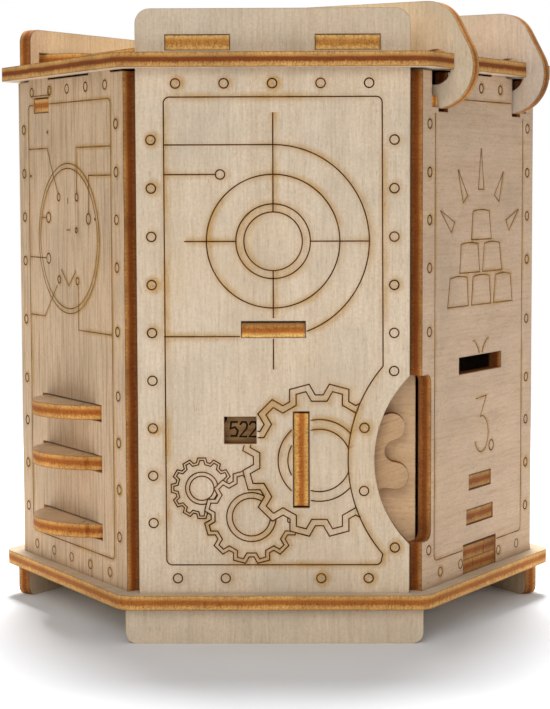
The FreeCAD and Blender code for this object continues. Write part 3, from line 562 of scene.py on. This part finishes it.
class Graph:
    """A short way to write node graphs."""

    def __init__(self, name):
        self.material = bpy.data.materials.new(name)
        self.material.use_nodes = True
        self.tree = self.material.node_tree
        self.tree.nodes.clear()

    def node(self, kind, **settings):
        made = self.tree.nodes.new(kind)
        for key, value in settings.items():
            setattr(made, key, value)
        return made

    def place(self):
        """The place on the object itself, in metres."""
        return self.node("ShaderNodeTexCoord").outputs["Object"]

    def put(self, socket, value):
        if isinstance(value, bpy.types.NodeSocket):
            self.tree.links.new(value, socket)
        else:
            socket.default_value = value

    def math(self, operation, a, b=0.0, clamp=False):
        made = self.node("ShaderNodeMath", operation=operation, use_clamp=clamp)
        self.put(made.inputs[0], a)
        self.put(made.inputs[1], b)
        return made.outputs[0]

    def weighted(self, *pairs):
        """The sum of values, each times its share."""
        total = None
        for value, share in pairs:
            part = self.math("MULTIPLY", value, share)
            total = part if total is None else self.math("ADD", total, part)
        return total

    def swing(self, noise, size):
        """Noise between nought and one, turned into a shift of this size about nought."""
        return self.math("MULTIPLY", self.math("SUBTRACT", noise, 0.5), size)

    def dot(self, a, b):
        made = self.node("ShaderNodeVectorMath", operation="DOT_PRODUCT")
        self.put(made.inputs[0], a)
        self.put(made.inputs[1], b)
        return made.outputs["Value"]

    def combine(self, x, y, z):
        made = self.node("ShaderNodeCombineXYZ")
        self.put(made.inputs[0], x)
        self.put(made.inputs[1], y)
        self.put(made.inputs[2], z)
        return made.outputs[0]

    def noise(self, vector, scale, detail=3.0, rough=0.55):
        made = self.node("ShaderNodeTexNoise")
        self.put(made.inputs["Vector"], vector)
        self.put(made.inputs["Scale"], scale)
        self.put(made.inputs["Detail"], detail)
        self.put(made.inputs["Roughness"], rough)
        return made.outputs["Fac"]

    def span(self, value, low, high, out_low=0.0, out_high=1.0):
        made = self.node("ShaderNodeMapRange")
        self.put(made.inputs["Value"], value)
        self.put(made.inputs["From Min"], low)
        self.put(made.inputs["From Max"], high)
        self.put(made.inputs["To Min"], out_low)
        self.put(made.inputs["To Max"], out_high)
        return made.outputs[0]

    def mix(self, share, a, b, blend="MIX"):
        made = self.node("ShaderNodeMix", data_type="RGBA", blend_type=blend)
        self.put(made.inputs[0], share)
        self.put(made.inputs[6], a)
        self.put(made.inputs[7], b)
        return made.outputs[2]

    def ramp(self, value, stops):
        made = self.node("ShaderNodeValToRGB")
        self.put(made.inputs[0], value)
        elements = made.color_ramp.elements
        while len(elements) < len(stops):
            elements.new(0.5)
        for element, (place, colour) in zip(elements, stops):
            element.position = place
            element.color = colour
        return made.outputs[0]

    def bump(self, height, strength, distance, normal=None):
        made = self.node("ShaderNodeBump")
        self.put(made.inputs["Strength"], strength)
        self.put(made.inputs["Distance"], distance)
        self.put(made.inputs["Height"], height)
        if normal is not None:
            self.put(made.inputs["Normal"], normal)
        return made.outputs[0]

    def principled(self, colour, roughness, shine, normal=None):
        made = self.node("ShaderNodeBsdfPrincipled")
        self.put(made.inputs["Base Color"], colour)
        self.put(made.inputs["Roughness"], roughness)
        self.put(made.inputs["Specular IOR Level"], shine)
        if normal is not None:
            self.put(made.inputs["Normal"], normal)
        return made.outputs[0]

    def between(self, share, a, b):
        """Two shaders mixed."""
        made = self.node("ShaderNodeMixShader")
        self.put(made.inputs[0], share)
        self.put(made.inputs[1], a)
        self.put(made.inputs[2], b)
        return made.outputs[0]

    def done(self, shader):
        """The material, with this shader as its surface."""
        out = self.node("ShaderNodeOutputMaterial")
        self.put(out.inputs["Surface"], shader)
        return self.material


def rgb(r, g, b):
    """A colour given as it looks on a screen, 0 to 255, turned into light values."""
    out = []
    for value in (r, g, b):
        share = value / 255
        out.append(share / 12.92 if share <= 0.04045 else ((share + 0.055) / 1.055) ** 2.4)
    return (*out, 1.0)


FACE_LIGHT = rgb(224, 206, 182)
FACE_DARK = rgb(206, 184, 156)
FACE_GREY = rgb(186, 172, 152)
FACE_WARM = rgb(220, 182, 128)
FACE_PORE = rgb(150, 122, 92)
FACE_VEIN = rgb(148, 118, 86)
# What cut edges darken to towards a sheet's start: partly burn, partly painted shade.
BURN_AND_SHADE = rgb(106, 46, 8)
EDGE_GOLD = rgb(240, 192, 118)
EDGE_TAN = rgb(226, 166, 88)
EDGE_CORE = rgb(188, 112, 44)
EDGE_CHAR = rgb(104, 52, 16)
TOP_PLATE_CORE = rgb(142, 72, 28)
KEY_CORE = rgb(206, 140, 66)


# How often noise repeats in a metre: along the grain, across it and through the sheet.
STREAK_SCALES = (150.0, 1500.0, 900.0)
BROAD_SCALES = (14.0, 130.0, 90.0)
PORE_SCALES = (380.0, 2400.0, 900.0)
VEIN_SCALES = (48.0, 1050.0, 500.0)
TICK_SCALES = (1900.0, 1900.0, 420.0)
# The same for noise without a direction.
SPECKLE_SCALE = 1300.0
BLOTCH_SCALE = 46.0
WARM_SCALE = 19.0
WAVER_SCALE = 120.0
GRIT_SCALE = 2100.0
BURNT_SCALE = 75.0
# How strongly each shows in a face, nought to one.
GREY_SHARE = 0.55
WARM_SHARE = 0.16
PORE_SHARE = 0.34
RIM_SHARE_OF_CHAR = 0.35
# How far the layers in an edge wander, as shares of the sheet's thickness.
WAVER = 0.14
RAGGED = 0.34
# How far the edge of that darker band wanders, burn and painted shade alike.
FALL_WANDER = 0.9
ROUNDING = 0.0004          # metres, the radius that the edges' shading is rounded by
FACE_FACING = 0.7          # a surface turned further from the sheet's direction is an edge
PLY_SHINE = 0.2
PLY_ROUGHNESS = (0.64, 0.84)
PLY_BUMP = (0.25, 0.00014)     # strength, and height in metres


class Sheet:
    """A sheet's own directions in a graph: axis is through it, start where it begins along that."""

    def __init__(self, g, axis, start, grain):
        self.g = g
        self.axis = Vector(axis).normalized()
        grain = Vector(grain).normalized()
        self.place = g.place()
        self.along = g.dot(self.place, tuple(grain))
        self.across = g.dot(self.place, tuple(self.axis.cross(grain)))
        self.through = g.dot(self.place, tuple(self.axis))
        self.depth = g.math("DIVIDE", g.math("SUBTRACT", self.through, start), PLY * MM)

    def noise(self, scales, detail, rough):
        """Noise drawn out along the grain."""
        g = self.g
        along, across, through = scales
        stretched = g.combine(
            g.math("MULTIPLY", self.along, along),
            g.math("MULTIPLY", self.across, across),
            g.math("MULTIPLY", self.through, through),
        )
        return g.noise(stretched, 1.0, detail, rough)


def face_colour(g, sheet, streaks, pores, veins):
    """A pale face: light and dark figure, then grey and warm patches, veins and pores."""
    broad = sheet.noise(BROAD_SCALES, 4.0, 0.55)
    speckle = g.noise(sheet.place, SPECKLE_SCALE, 3.0, 0.65)
    vein = g.span(sheet.noise(VEIN_SCALES, 4.0, 0.65), 0.48, 0.68)
    grey = g.span(g.noise(sheet.place, BLOTCH_SCALE, 5.0, 0.62), 0.44, 0.70)
    warm = g.span(g.noise(sheet.place, WARM_SCALE, 4.0, 0.58), 0.50, 0.74)
    figure = g.weighted((streaks, 0.36), (broad, 0.28), (speckle, 0.36))
    colour = g.mix(g.span(figure, 0.40, 0.60), FACE_DARK, FACE_LIGHT)
    colour = g.mix(g.math("MULTIPLY", grey, GREY_SHARE), colour, FACE_GREY)
    colour = g.mix(g.math("MULTIPLY", warm, WARM_SHARE), colour, FACE_WARM)
    colour = g.mix(g.math("MULTIPLY", vein, veins), colour, FACE_VEIN)
    return g.mix(g.math("MULTIPLY", pores, PORE_SHARE), colour, FACE_PORE)


def edge_grit(g, sheet):
    """The fine uneven burning of a cut edge."""
    ticks = sheet.noise(TICK_SCALES, 3.0, 0.65)
    grains = g.noise(sheet.place, GRIT_SCALE, 4.0, 0.72)
    return g.weighted((ticks, 0.36), (grains, 0.64))


def edge_colour(g, sheet, grit, char, fall, core):
    """A cut edge: pale outer layers and a dark core, scorched over, and with fall set darker
    towards the sheet's start, partly burn and partly painted shade.
    """
    waver = g.swing(g.noise(sheet.place, WAVER_SCALE, 3.0), WAVER)
    layer_depth = g.math("ADD", g.math("ADD", sheet.depth, waver), g.swing(grit, RAGGED))
    colour = g.ramp(layer_depth, [
        (0.00, EDGE_TAN),
        (0.14, EDGE_GOLD),
        (0.28, EDGE_TAN),
        (0.40, core),
        (0.62, core),
        (0.74, EDGE_TAN),
        (0.88, EDGE_GOLD),
        (1.00, EDGE_TAN),
    ])
    colour = g.mix(g.span(grit, 0.44, 0.62, 0.0, 0.60), colour, EDGE_CHAR)
    burnt = g.noise(sheet.place, BURNT_SCALE, 4.0, 0.6)
    scorch = g.span(burnt, 0.34, 0.72, char * 0.35, min(char * 1.8, 0.95))
    colour = g.mix(scorch, colour, EDGE_CHAR)
    lip = g.math("ABSOLUTE", g.math("SUBTRACT", sheet.depth, 0.5))
    colour = g.mix(g.span(lip, 0.455, 0.5, 0.0, 0.6), colour, EDGE_CHAR)
    # Darker towards the sheet's start: partly burn, partly painted shade inside the box and under
    # slot tops.
    if fall > 0:
        uneven = g.math("ADD", sheet.depth, g.swing(burnt, FALL_WANDER))
        colour = g.mix(g.span(uneven, 0.10, 0.85, fall, 0.0), colour, BURN_AND_SHADE)
    return colour


def ply(name, axis, start, grain, tone=1.0, veins=0.22, char=0.35, fall=0.0, core=EDGE_CORE):
    """Laser-cut plywood: pale grained faces, scorched edges that show the three layers.
    axis is the direction through the sheet, start where the sheet begins along it, in metres.
    tone darkens the whole sheet, evenly or per colour channel, veins is how strong its grain is,
    char how scorched the edges are, fall how much darker they get towards the sheet's start,
    partly burn and partly painted shade, core the colour of the middle layer where it shows in the
    edges."""
    g = Graph(name)
    tint = tone if isinstance(tone, tuple) else (tone, tone, tone)
    sheet = Sheet(g, axis, start, grain)
    geometry = g.node("ShaderNodeNewGeometry")
    turn = g.node(
        "ShaderNodeVectorTransform", vector_type="NORMAL", convert_from="WORLD", convert_to="OBJECT"
    )
    g.put(turn.inputs[0], geometry.outputs["True Normal"])
    facing = g.math("ABSOLUTE", g.dot(turn.outputs[0], tuple(sheet.axis)))
    is_face = g.math("GREATER_THAN", facing, FACE_FACING)

    streaks = sheet.noise(STREAK_SCALES, 5.0, 0.62)
    pores = g.span(sheet.noise(PORE_SCALES, 2.0, 0.5), 0.60, 0.74)
    grit = edge_grit(g, sheet)
    face = face_colour(g, sheet, streaks, pores, veins)
    edge = edge_colour(g, sheet, grit, char, fall, core)

    soft = g.node("ShaderNodeBevel", samples=3)
    g.put(soft.inputs["Radius"], ROUNDING)
    bend = g.math("SUBTRACT", 1.0, g.dot(soft.outputs[0], geometry.outputs["True Normal"]))
    face = g.mix(g.span(bend, 0.004, 0.2, 0.0, RIM_SHARE_OF_CHAR), face, EDGE_CHAR)
    colour = g.mix(is_face, edge, face)
    colour = g.mix(1.0, colour, (*tint, 1.0), "MULTIPLY")
    height = g.weighted((streaks, 0.6), (pores, -0.5), (grit, 0.35))
    normal = g.bump(height, *PLY_BUMP, soft.outputs[0])
    roughness = g.span(streaks, 0.3, 0.7, *PLY_ROUGHNESS)
    return g.done(g.principled(colour, roughness, PLY_SHINE, normal))


CHARRED_ROUGHNESS = 0.85
CHARRED_SHINE = 0.1


def engraving(name, dark, light):
    """The scorched bottom of a laser line, uneven along its length."""
    g = Graph(name)
    uneven = g.noise(g.place(), 160.0, 4.0)
    colour = g.mix(g.span(uneven, 0.34, 0.66), dark, light)
    return g.done(g.principled(colour, CHARRED_ROUGHNESS, CHARRED_SHINE))


STAIN_COLOUR = rgb(214, 170, 92)
STAIN_ROUGHNESS = 0.8
STAIN_FALL = 1.4               # the power by which it fades away from the line
STAIN_STRENGTHS = (0.06, 0.62)     # where it is weakest and strongest along the line


def smoke_stain():
    """Fades out away from the line and comes and goes along it."""
    g = Graph("smoke_stain")
    fade = g.node("ShaderNodeAttribute", attribute_name="fade").outputs["Fac"]
    patchy = g.span(g.noise(g.place(), 55.0, 3.0), 0.38, 0.66, *STAIN_STRENGTHS)
    near = g.math("SUBTRACT", 1.0, fade, True)
    strength = g.math("MULTIPLY", g.math("POWER", near, STAIN_FALL), patchy)
    clear = g.node("ShaderNodeBsdfTransparent").outputs[0]
    stain = g.principled(STAIN_COLOUR, STAIN_ROUGHNESS, CHARRED_SHINE)
    return g.done(g.between(strength, clear, stain))


def fibres(g, scale_x, scale_y, scale_z):
    """Noise drawn out along one of the object's own directions."""
    place = g.place()
    stretched = g.combine(
        g.dot(place, (scale_x, 0, 0)),
        g.dot(place, (0, scale_y, 0)),
        g.dot(place, (0, 0, scale_z)),
    )
    return g.noise(stretched, 1.0, 4.0)


def burnt_ring():
    """The darkened band the numbers stand on."""
    g = Graph("burnt_ring")
    lines = fibres(g, 90.0, 900.0, 900.0)
    colour = g.mix(g.span(lines, 0.35, 0.65), rgb(132, 98, 62), rgb(176, 142, 98))
    return g.done(g.principled(colour, CHARRED_ROUGHNESS, CHARRED_SHINE))


def dowel_wood(name):
    """Round rod with its grain running up it."""
    g = Graph(name)
    lines = fibres(g, 900.0, 900.0, 60.0)
    colour = g.mix(g.span(lines, 0.35, 0.65), rgb(184, 148, 104), rgb(214, 184, 140))
    return g.done(g.principled(colour, 0.7, 0.5, g.bump(lines, 0.2, 0.0001)))


def give(node, material):
    """Puts a material on a CAD node's slots, or on a new piece."""
    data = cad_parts[node].data if isinstance(node, str) else node.data
    if len(data.materials) == 0:
        data.materials.append(material)
    for i in range(len(data.materials)):
        data.materials[i] = material


# ---------------------------------------------------------------- dressing the CAD pieces


def outward(side):
    a = math.radians(side)
    return Vector((math.cos(a), math.sin(a), 0))


def rightward(side):
    return outward(side + 90)


def reach(node, direction):
    """How far a node reaches back along a direction: where its sheet starts."""
    return min(v.co.dot(direction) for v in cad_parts[node].data.vertices)


def reach_inner(node, axis):
    """A wall's sheet starts one thickness in from its outer face."""
    outer = max(v.co.dot(axis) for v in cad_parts[node].data.vertices)
    return outer - PLY * MM


# How much the walls' cut edges darken towards the inside of the box: partly burn, partly painted
# shade.
WALL_FALL = 0.66
FALLS = {"right_front_wall": 0.56}


def dress_walls():
    """Each wall has the side it stands on, the way its grain runs, its tone and its veins."""
    walls = {
        "front_wall": (FRONT, UPRIGHT, (1.0, 1.0, 1.0), 0.16),
        # These two are darker and greyer than the front: partly their own tone, partly painted
        # shade for faces turned from the light.
        "left_front_wall": (LEFT_FRONT, UPRIGHT, (0.93, 0.82, 0.71), 0.60),
        "right_front_wall": (RIGHT_FRONT, rightward(RIGHT_FRONT), (0.86, 0.755, 0.69), 0.18),
        "left_back_wall": (LEFT_BACK, UPRIGHT, (0.98, 0.92, 0.85), 0.30),
        "right_back_wall": (RIGHT_BACK, UPRIGHT, (0.99, 0.95, 0.90), 0.25),
        "back_wall": (BACK, rightward(BACK), (0.97, 0.91, 0.84), 0.35),
    }
    for node, (side, grain, tone, veins) in walls.items():
        axis = outward(side)
        start = reach_inner(node, axis)
        fall = FALLS.get(node, WALL_FALL)
        give(node, ply("ply_" + node, axis, start, grain, tone, veins, char=0.42, fall=fall))


# The mid shelf's edges darken towards the top: partly burn, partly painted shade under the top of
# its slot.
DARK_TOPPED = "mid_shelf"      # its edges are darkest at the top
CORES = {
    "top_plate": TOP_PLATE_CORE,
    "front_key": KEY_CORE,
}
DECK_CHAR = 0.20


def dress_decks():
    """Each flat sheet has its tone and the heading its grain runs along."""
    decks = {
        "base_plate": (1.0, RIGHT_BACK),
        "top_plate": (1.0, RIGHT_BACK),
        "lid_plate": (0.97, FRONT),
        # Lightened above the plywood's own colour: painted light on a tab end that sits in its
        # slot's shade.
        "mid_shelf": ((1.18, 1.24, 1.20), 0),
        "floor_lower_front": ((0.70, 0.62, 0.53), 20),
        "floor_lower_back": ((0.72, 0.64, 0.55), 20),
        "floor_upper_front": ((0.72, 0.64, 0.55), 60),
        "floor_upper_back": ((0.72, 0.64, 0.55), 60),
        "coin_step_upper": ((0.70, 0.65, 0.62), RIGHT_FRONT),
        "coin_step_lower": ((0.74, 0.69, 0.64), RIGHT_FRONT),
        "bolt_tray": (0.95, LEFT_FRONT),
        "bolt": (0.97, LEFT_FRONT),
        # The keys are lightened above the plywood's own colour: painted light where they sit in
        # their slots' shade.
        "front_key": ((1.12, 1.18, 1.22), 0),
        "left_back_key": ((1.12, 1.18, 1.22), 60),
        "right_back_key": ((1.12, 1.18, 1.22), -60),
        "code_dial_top": ((0.98, 0.88, 0.76), 25),
        "code_dial_middle": ((0.95, 0.85, 0.73), 70),
        "code_dial_bottom": ((0.98, 0.87, 0.75), -15),
    }
    scorched = {
        "top_plate": 0.24,
        "base_plate": 0.20,
        # mid_shelf and front_key are scorched only lightly: part of the painted light that lifts
        # them out of their slots' shade.
        "mid_shelf": 0.06,
        "front_key": 0.06,
        "coin_step_upper": 0.36,
        "coin_step_lower": 0.36,
        "floor_lower_front": 0.32,
        "floor_lower_back": 0.36,
        "floor_upper_front": 0.60,
        "floor_upper_back": 0.55,
    }
    for node, (tone, heading) in decks.items():
        low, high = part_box(node)
        char = scorched.get(node, DECK_CHAR)
        grain = outward(heading)
        if node == DARK_TOPPED:
            give(node, ply("ply_" + node, -UPRIGHT, -high.z, grain, tone, char=char, fall=0.75))
        else:
            core = CORES.get(node, EDGE_CORE)
            give(node, ply("ply_" + node, UPRIGHT, low.z, grain, tone, char=char, core=core))


RIB_TONE = (1.08, 1.04, 0.92)
RIB_TONES = {
    "lid_arm_front": (1.07, 1.08, 1.05),
    "lid_arm_back": (0.96, 0.98, 1.06),
}
RIB_CHAR = 0.78
RIB_CHARS = {"wheel_rib": 0.2}


def dress_ribs():
    """Each upright rib has the side that its sheet's edges point to."""
    ribs = {
        "lid_arm_front": RIGHT_FRONT,
        "lid_arm_back": RIGHT_FRONT,
        "hinge_cheek_front": RIGHT_FRONT,
        "hinge_cheek_back": RIGHT_FRONT,
        "wheel_rib": FRONT,
        "lock_bar": LEFT_FRONT,
        "bolt_hanger_left": LEFT_FRONT,
        "bolt_hanger_right": LEFT_FRONT,
    }
    for node, side in ribs.items():
        axis = rightward(side)
        char = RIB_CHARS.get(node, RIB_CHAR)
        tone = RIB_TONES.get(node, RIB_TONE)
        give(node, ply("ply_" + node, axis, reach(node, axis), UPRIGHT, tone, 0.18, char=char))


def dress_uprights():
    """Sheets that stand parallel to a wall: side, grain, tone and veins."""
    uprights = {
        "wheel_backplate": (FRONT, rightward(FRONT), (1.0, 0.835, 0.655), 0.16),
        # The number wheel is darker and browner than the other sheets: partly its own tone, partly
        # painted shade of its recess behind the front wall.
        "number_wheel": (FRONT, rightward(FRONT) + UPRIGHT * 0.35, (0.78, 0.63, 0.48), 0.42),
        "step_wall": (RIGHT_FRONT, UPRIGHT, 0.9, 0.2),
        "lid_tongue": (LEFT_FRONT, UPRIGHT, 0.95, 0.2),
    }
    for node, (side, grain, tone, veins) in uprights.items():
        axis = outward(side)
        level = grain - axis * grain.dot(axis)
        give(node, ply("ply_" + node, axis, reach_inner(node, axis), level, tone, veins, char=0.3))


def dress_dowels():
    give("dial_axle", dowel_wood("dowel_axle"))
    give("dial_spacers", dowel_wood("dowel_spacers"))


# ---------------------------------------------------------------- added pieces


def is_rivet(run):
    """A small closed ring."""
    width = max(p[0] for p in run) - min(p[0] for p in run)
    return run[0] == run[-1] and width < RIVET_LIMIT


def engrave_walls():
    """Engraved lines, rivet rings and stains on every wall. Only the front's lines are bold."""
    dark = engraving("engraved_dark", rgb(46, 20, 5), rgb(104, 56, 20))
    faint = engraving("engraved_faint", rgb(78, 48, 20), rgb(138, 98, 56))
    stain = smoke_stain()
    drawings = {
        "front": (FRONT, front_drawing()),
        "left_front": (LEFT_FRONT, left_front_drawing()),
        "right_front": (RIGHT_FRONT, right_front_drawing()),
        "left_back": (LEFT_BACK, cipher_rings_drawing()),
        "right_back": (RIGHT_BACK, cipher_rings_drawing()),
        "back": (BACK, plain_drawing(False)),
    }
    for name, (side, runs) in drawings.items():
        place = wall_place(side, WALL_OUT)
        rivets = [run for run in runs if is_rivet(run)]
        others = [run for run in runs if not is_rivet(run)]
        bold = name == "front"
        width = LINE_WIDTH if bold else FAINT_WIDTH
        lines = line_mesh("engraving_" + name, others, place, width, LINE_LIFT)
        rings = line_mesh("rivets_" + name, rivets, place, RIVET_LINE_WIDTH, LINE_LIFT)
        spread = SCORCH_WIDTH if bold else FAINT_SCORCH_WIDTH
        stained = apart(runs, SHARED_STAIN)
        stains = scorch_mesh("scorch_" + name, stained, place, spread, SCORCH_LIFT, SCORCH_SHIFT)
        for made, material in ((lines, dark if bold else faint), (rings, dark), (stains, stain)):
            give(made, material)
            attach(made, "box")


# Each digit is one stroke on a grid one wide and two high.
DIGITS = {
    "0": [(0, 0.4), (0, 1.6), (0.5, 2), (1, 1.6), (1, 0.4), (0.5, 0), (0, 0.4)],
    "1": [(0.2, 1.6), (0.6, 2), (0.6, 0)],
    "2": [(0, 1.6), (0.3, 2), (0.8, 2), (1, 1.6), (0.9, 1.1), (0, 0), (1, 0)],
    "3": [(0, 1.8), (0.5, 2), (1, 1.6), (0.5, 1.1), (1, 0.6), (0.5, 0), (0, 0.2)],
    "4": [(0.8, 0), (0.8, 2), (0, 0.7), (1, 0.7)],
    "5": [(1, 2), (0.1, 2), (0, 1.1), (0.6, 1.3), (1, 0.8), (0.8, 0.1), (0, 0.1)],
    "6": [(0.9, 1.9), (0.3, 1.5), (0, 0.6), (0.4, 0), (1, 0.4), (0.7, 1.1), (0.05, 0.8)],
    "7": [(0, 2), (1, 2), (0.4, 0)],
    "8": [
        (0.5, 1.1), (0.1, 1.6), (0.5, 2), (0.9, 1.6), (0.5, 1.1),
        (0, 0.5), (0.5, 0), (1, 0.5), (0.5, 1.1),
    ],
    "9": [(0.95, 1.3), (0.4, 0.9), (0, 1.4), (0.5, 2), (1, 1.5), (0.8, 0.5), (0.3, 0)],
}
NUMBER_PLACE = (-15.7, 7.8)        # the number in the window, from the wheel's axle
DIGIT_WIDTH = 1.0                  # both of these are shares of half a digit's height
DIGIT_PITCH = 1.28
DIGIT_SIZE = 1.3                   # half a digit's height
WINDOW_DIGIT_SIZE = 2.0            # the same for the number in the window
DIGIT_LINE_WIDTH = 0.55
WHEEL_NUMBERS = ("522", "17", "346", "80", "291", "63", "405", "98", "714", "26", "537", "41")


def ring_number(text, angle, size):
    """A number on the wheel, upright once the wheel has brought it to the window."""
    turn = math.radians(angle)
    middle_u, middle_z = NUMBER_PLACE
    width = DIGIT_WIDTH * size
    runs = []
    for i, digit in enumerate(text):
        shift = (i - (len(text) - 1) / 2) * size * DIGIT_PITCH - width / 2
        placed = []
        for x, y in DIGITS[digit]:
            u = middle_u + shift + x * width
            z = middle_z + (y - 1) * size
            placed.append((
                u * math.cos(turn) - z * math.sin(turn) + WHEEL_U,
                u * math.sin(turn) + z * math.cos(turn) + WHEEL_Z - FLOOR,
            ))
        runs.append(placed)
    return runs


SECTOR_STEPS = 96
BAND_RADII = (13.1, 19.3)
PATCH_RADII = (13.1, 22.6)
PATCH_ANGLES = (131, 173)
BAND_LIFT = 0.02
PATCH_LIFT = 0.03
DIGIT_LIFT = 0.06


def sector_mesh(name, place, radii, angles, thickness):
    """A flat band round the wheel's axle, as a closed solid. Its thickness is counted each way."""
    near, far = radii
    begin, end = angles
    whole = end - begin >= 360
    count = SECTOR_STEPS if whole else SECTOR_STEPS + 1
    profile = ((near, -thickness), (far, -thickness), (far, thickness), (near, thickness))
    verts = []
    for i in range(count):
        a = math.radians(begin + (end - begin) * i / SECTOR_STEPS)
        for radius, height in profile:
            u = WHEEL_U + radius * math.cos(a)
            z = WHEEL_Z - FLOOR + radius * math.sin(a)
            verts.append(place(u, z, height))
    return new_object(name, verts, bar_faces(0, count, whole))


def number_band():
    """The wheel's numbers, the burnt band under them and a wider patch behind the window."""
    ink = engraving("number_ink", rgb(30, 18, 10), rgb(52, 32, 18))
    place = wall_place(FRONT, WHEEL_FACE)
    burnt = burnt_ring()
    band = sector_mesh("number_band", place, BAND_RADII, (0, 360), BAND_LIFT)
    patch = sector_mesh("number_band_window", place, PATCH_RADII, PATCH_ANGLES, PATCH_LIFT)
    runs = []
    pitch = 360 / len(WHEEL_NUMBERS)
    for i, text in enumerate(WHEEL_NUMBERS):
        runs += ring_number(text, i * pitch, WINDOW_DIGIT_SIZE if i == 0 else DIGIT_SIZE)
    digits = line_mesh("number_digits", runs, place, DIGIT_LINE_WIDTH, DIGIT_LIFT)
    for made, material in ((band, burnt), (patch, burnt), (digits, ink)):
        give(made, material)
        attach(made, "wheel")


DIAL_MARKS = 12
MARK_RADII = (15.6, 18.4)
MARK_LIFT = 0.03
CLEAR_COSINE = 0.9         # marks nearer than this to straight out or straight in are left out


def dial_place(centre, top):
    """Turns a place round the dials' axle into one on top of a dial."""
    return lambda u, v, lift: Vector((centre.x + u * MM, centre.y + v * MM, top + lift * MM))


def dial_marks():
    """Tick marks engraved on top of each code dial."""
    ink = engraving("dial_ink", rgb(70, 42, 20), rgb(130, 90, 54))
    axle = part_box("dial_axle")
    centre = (axle[0] + axle[1]) / 2
    runs = []
    for i in range(DIAL_MARKS):
        from_outward = math.radians((i + 0.5) * 360 / DIAL_MARKS)
        if abs(math.cos(from_outward)) > CLEAR_COSINE:
            continue
        a = from_outward + math.radians(LEFT_FRONT)
        runs.append([(radius * math.cos(a), radius * math.sin(a)) for radius in MARK_RADII])
    for level in ("top", "middle", "bottom"):
        node = "code_dial_" + level
        place = dial_place(centre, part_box(node)[1].z)
        ticks = line_mesh("marks_" + node, runs, place, LINE_WIDTH, MARK_LIFT)
        give(ticks, ink)
        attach(ticks, "dial_" + level)


# ---------------------------------------------------------------- floor, light and camera


# Sizes and places from here on are in metres.
FLOOR_SIZE = 12
FLOOR_CLEAR_FROM = 0.22
FLOOR_CLEAR_TO = 0.50
FLOOR_COLOUR = (0.925, 0.945, 0.975, 1)
LIT_PLACE = Vector((0, 0, 0.08))
SURROUND_STRENGTH = 0.31       # how much light comes from all round
BACKDROP_STRENGTH = 1.0        # how bright the camera sees it


def pale_floor():
    """A white sheet that fades into the white backdrop away from the box."""
    bpy.ops.mesh.primitive_plane_add(size=FLOOR_SIZE, location=(0, 0, 0))
    floor = bpy.context.object
    floor.name = "floor"
    g = Graph("pale_floor")
    surface = g.node("ShaderNodeBsdfDiffuse")
    g.put(surface.inputs["Color"], FLOOR_COLOUR)
    length = g.node("ShaderNodeVectorMath", operation="LENGTH")
    g.put(length.inputs[0], g.place())
    away = g.span(length.outputs["Value"], FLOOR_CLEAR_FROM, FLOOR_CLEAR_TO)
    clear = g.node("ShaderNodeBsdfTransparent")
    floor.data.materials.append(g.done(g.between(away, surface.outputs[0], clear.outputs[0])))


def area_light(name, place, size, watts, colour):
    """A round lamp that points at the middle of the box."""
    data = bpy.data.lights.new(name, "AREA")
    data.shape = "DISK"
    data.size = size
    data.energy = watts
    data.color = colour
    lamp = bpy.data.objects.new(name, data)
    lamp.location = place
    lamp.rotation_euler = (LIT_PLACE - Vector(place)).to_track_quat("-Z", "Y").to_euler()
    bpy.context.scene.collection.objects.link(lamp)


def studio_light():
    """A white backdrop that lights the box less than the camera sees of it, and three lamps."""
    world = bpy.data.worlds.new("studio")
    bpy.context.scene.world = world
    world.use_nodes = True
    tree = world.node_tree
    tree.nodes.clear()
    path = tree.nodes.new("ShaderNodeLightPath")
    mixed = tree.nodes.new("ShaderNodeMixShader")
    out = tree.nodes.new("ShaderNodeOutputWorld")
    tree.links.new(path.outputs["Is Camera Ray"], mixed.inputs[0])
    for place, strength in ((1, SURROUND_STRENGTH), (2, BACKDROP_STRENGTH)):
        light = tree.nodes.new("ShaderNodeBackground")
        light.inputs[0].default_value = (1.0, 1.0, 1.0, 1)
        light.inputs[1].default_value = strength
        tree.links.new(light.outputs[0], mixed.inputs[place])
    tree.links.new(mixed.outputs[0], out.inputs[0])
    area_light("key", (-0.30, -1.35, 0.72), 0.9, 7.4, (1.0, 0.985, 0.96))
    area_light("fill", (1.1, -1.0, 0.45), 0.9, 2.2, (0.98, 0.98, 1.0))
    area_light("overhead", (0.0, 0.46, 1.2), 0.6, 30, (1, 1, 1))


CAMERA_PLACE = Vector((0.0070, -0.6081, 0.1239))
CAMERA_YAW = -0.0122           # radians, as are the next two
CAMERA_PITCH = 0.0828
CAMERA_ROLL = 0.0034
SENSOR_WIDTH = 36.0            # millimetres, as is the next
LENS = 131.77


def photo_camera():
    """The camera as it stood for the photo."""
    ahead = Vector((
        math.sin(CAMERA_YAW) * math.cos(CAMERA_PITCH),
        math.cos(CAMERA_YAW) * math.cos(CAMERA_PITCH),
        -math.sin(CAMERA_PITCH),
    ))
    right = ahead.cross(UPRIGHT).normalized()
    up = right.cross(ahead).normalized()
    up = (up + right * CAMERA_ROLL).normalized()
    right = ahead.cross(up).normalized()
    data = bpy.data.cameras.new("camera")
    data.sensor_fit = "HORIZONTAL"
    data.sensor_width = SENSOR_WIDTH
    data.lens = LENS
    data.clip_start = 0.01
    lens = bpy.data.objects.new("camera", data)
    bpy.context.scene.collection.objects.link(lens)
    turned = lens.matrix_world.copy()
    for row in range(3):
        turned[row][0] = right[row]
        turned[row][1] = up[row]
        turned[row][2] = -ahead[row]
        turned[row][3] = CAMERA_PLACE[row]
    lens.matrix_world = turned
    bpy.context.scene.camera = lens


# ---------------------------------------------------------------- the scene


def main():
    dress_walls()
    dress_decks()
    dress_ribs()
    dress_uprights()
    dress_dowels()
    engrave_walls()
    number_band()
    dial_marks()
    pale_floor()
    studio_light()
    photo_camera()
    bpy.context.scene.view_settings.view_transform = "Standard"


main()
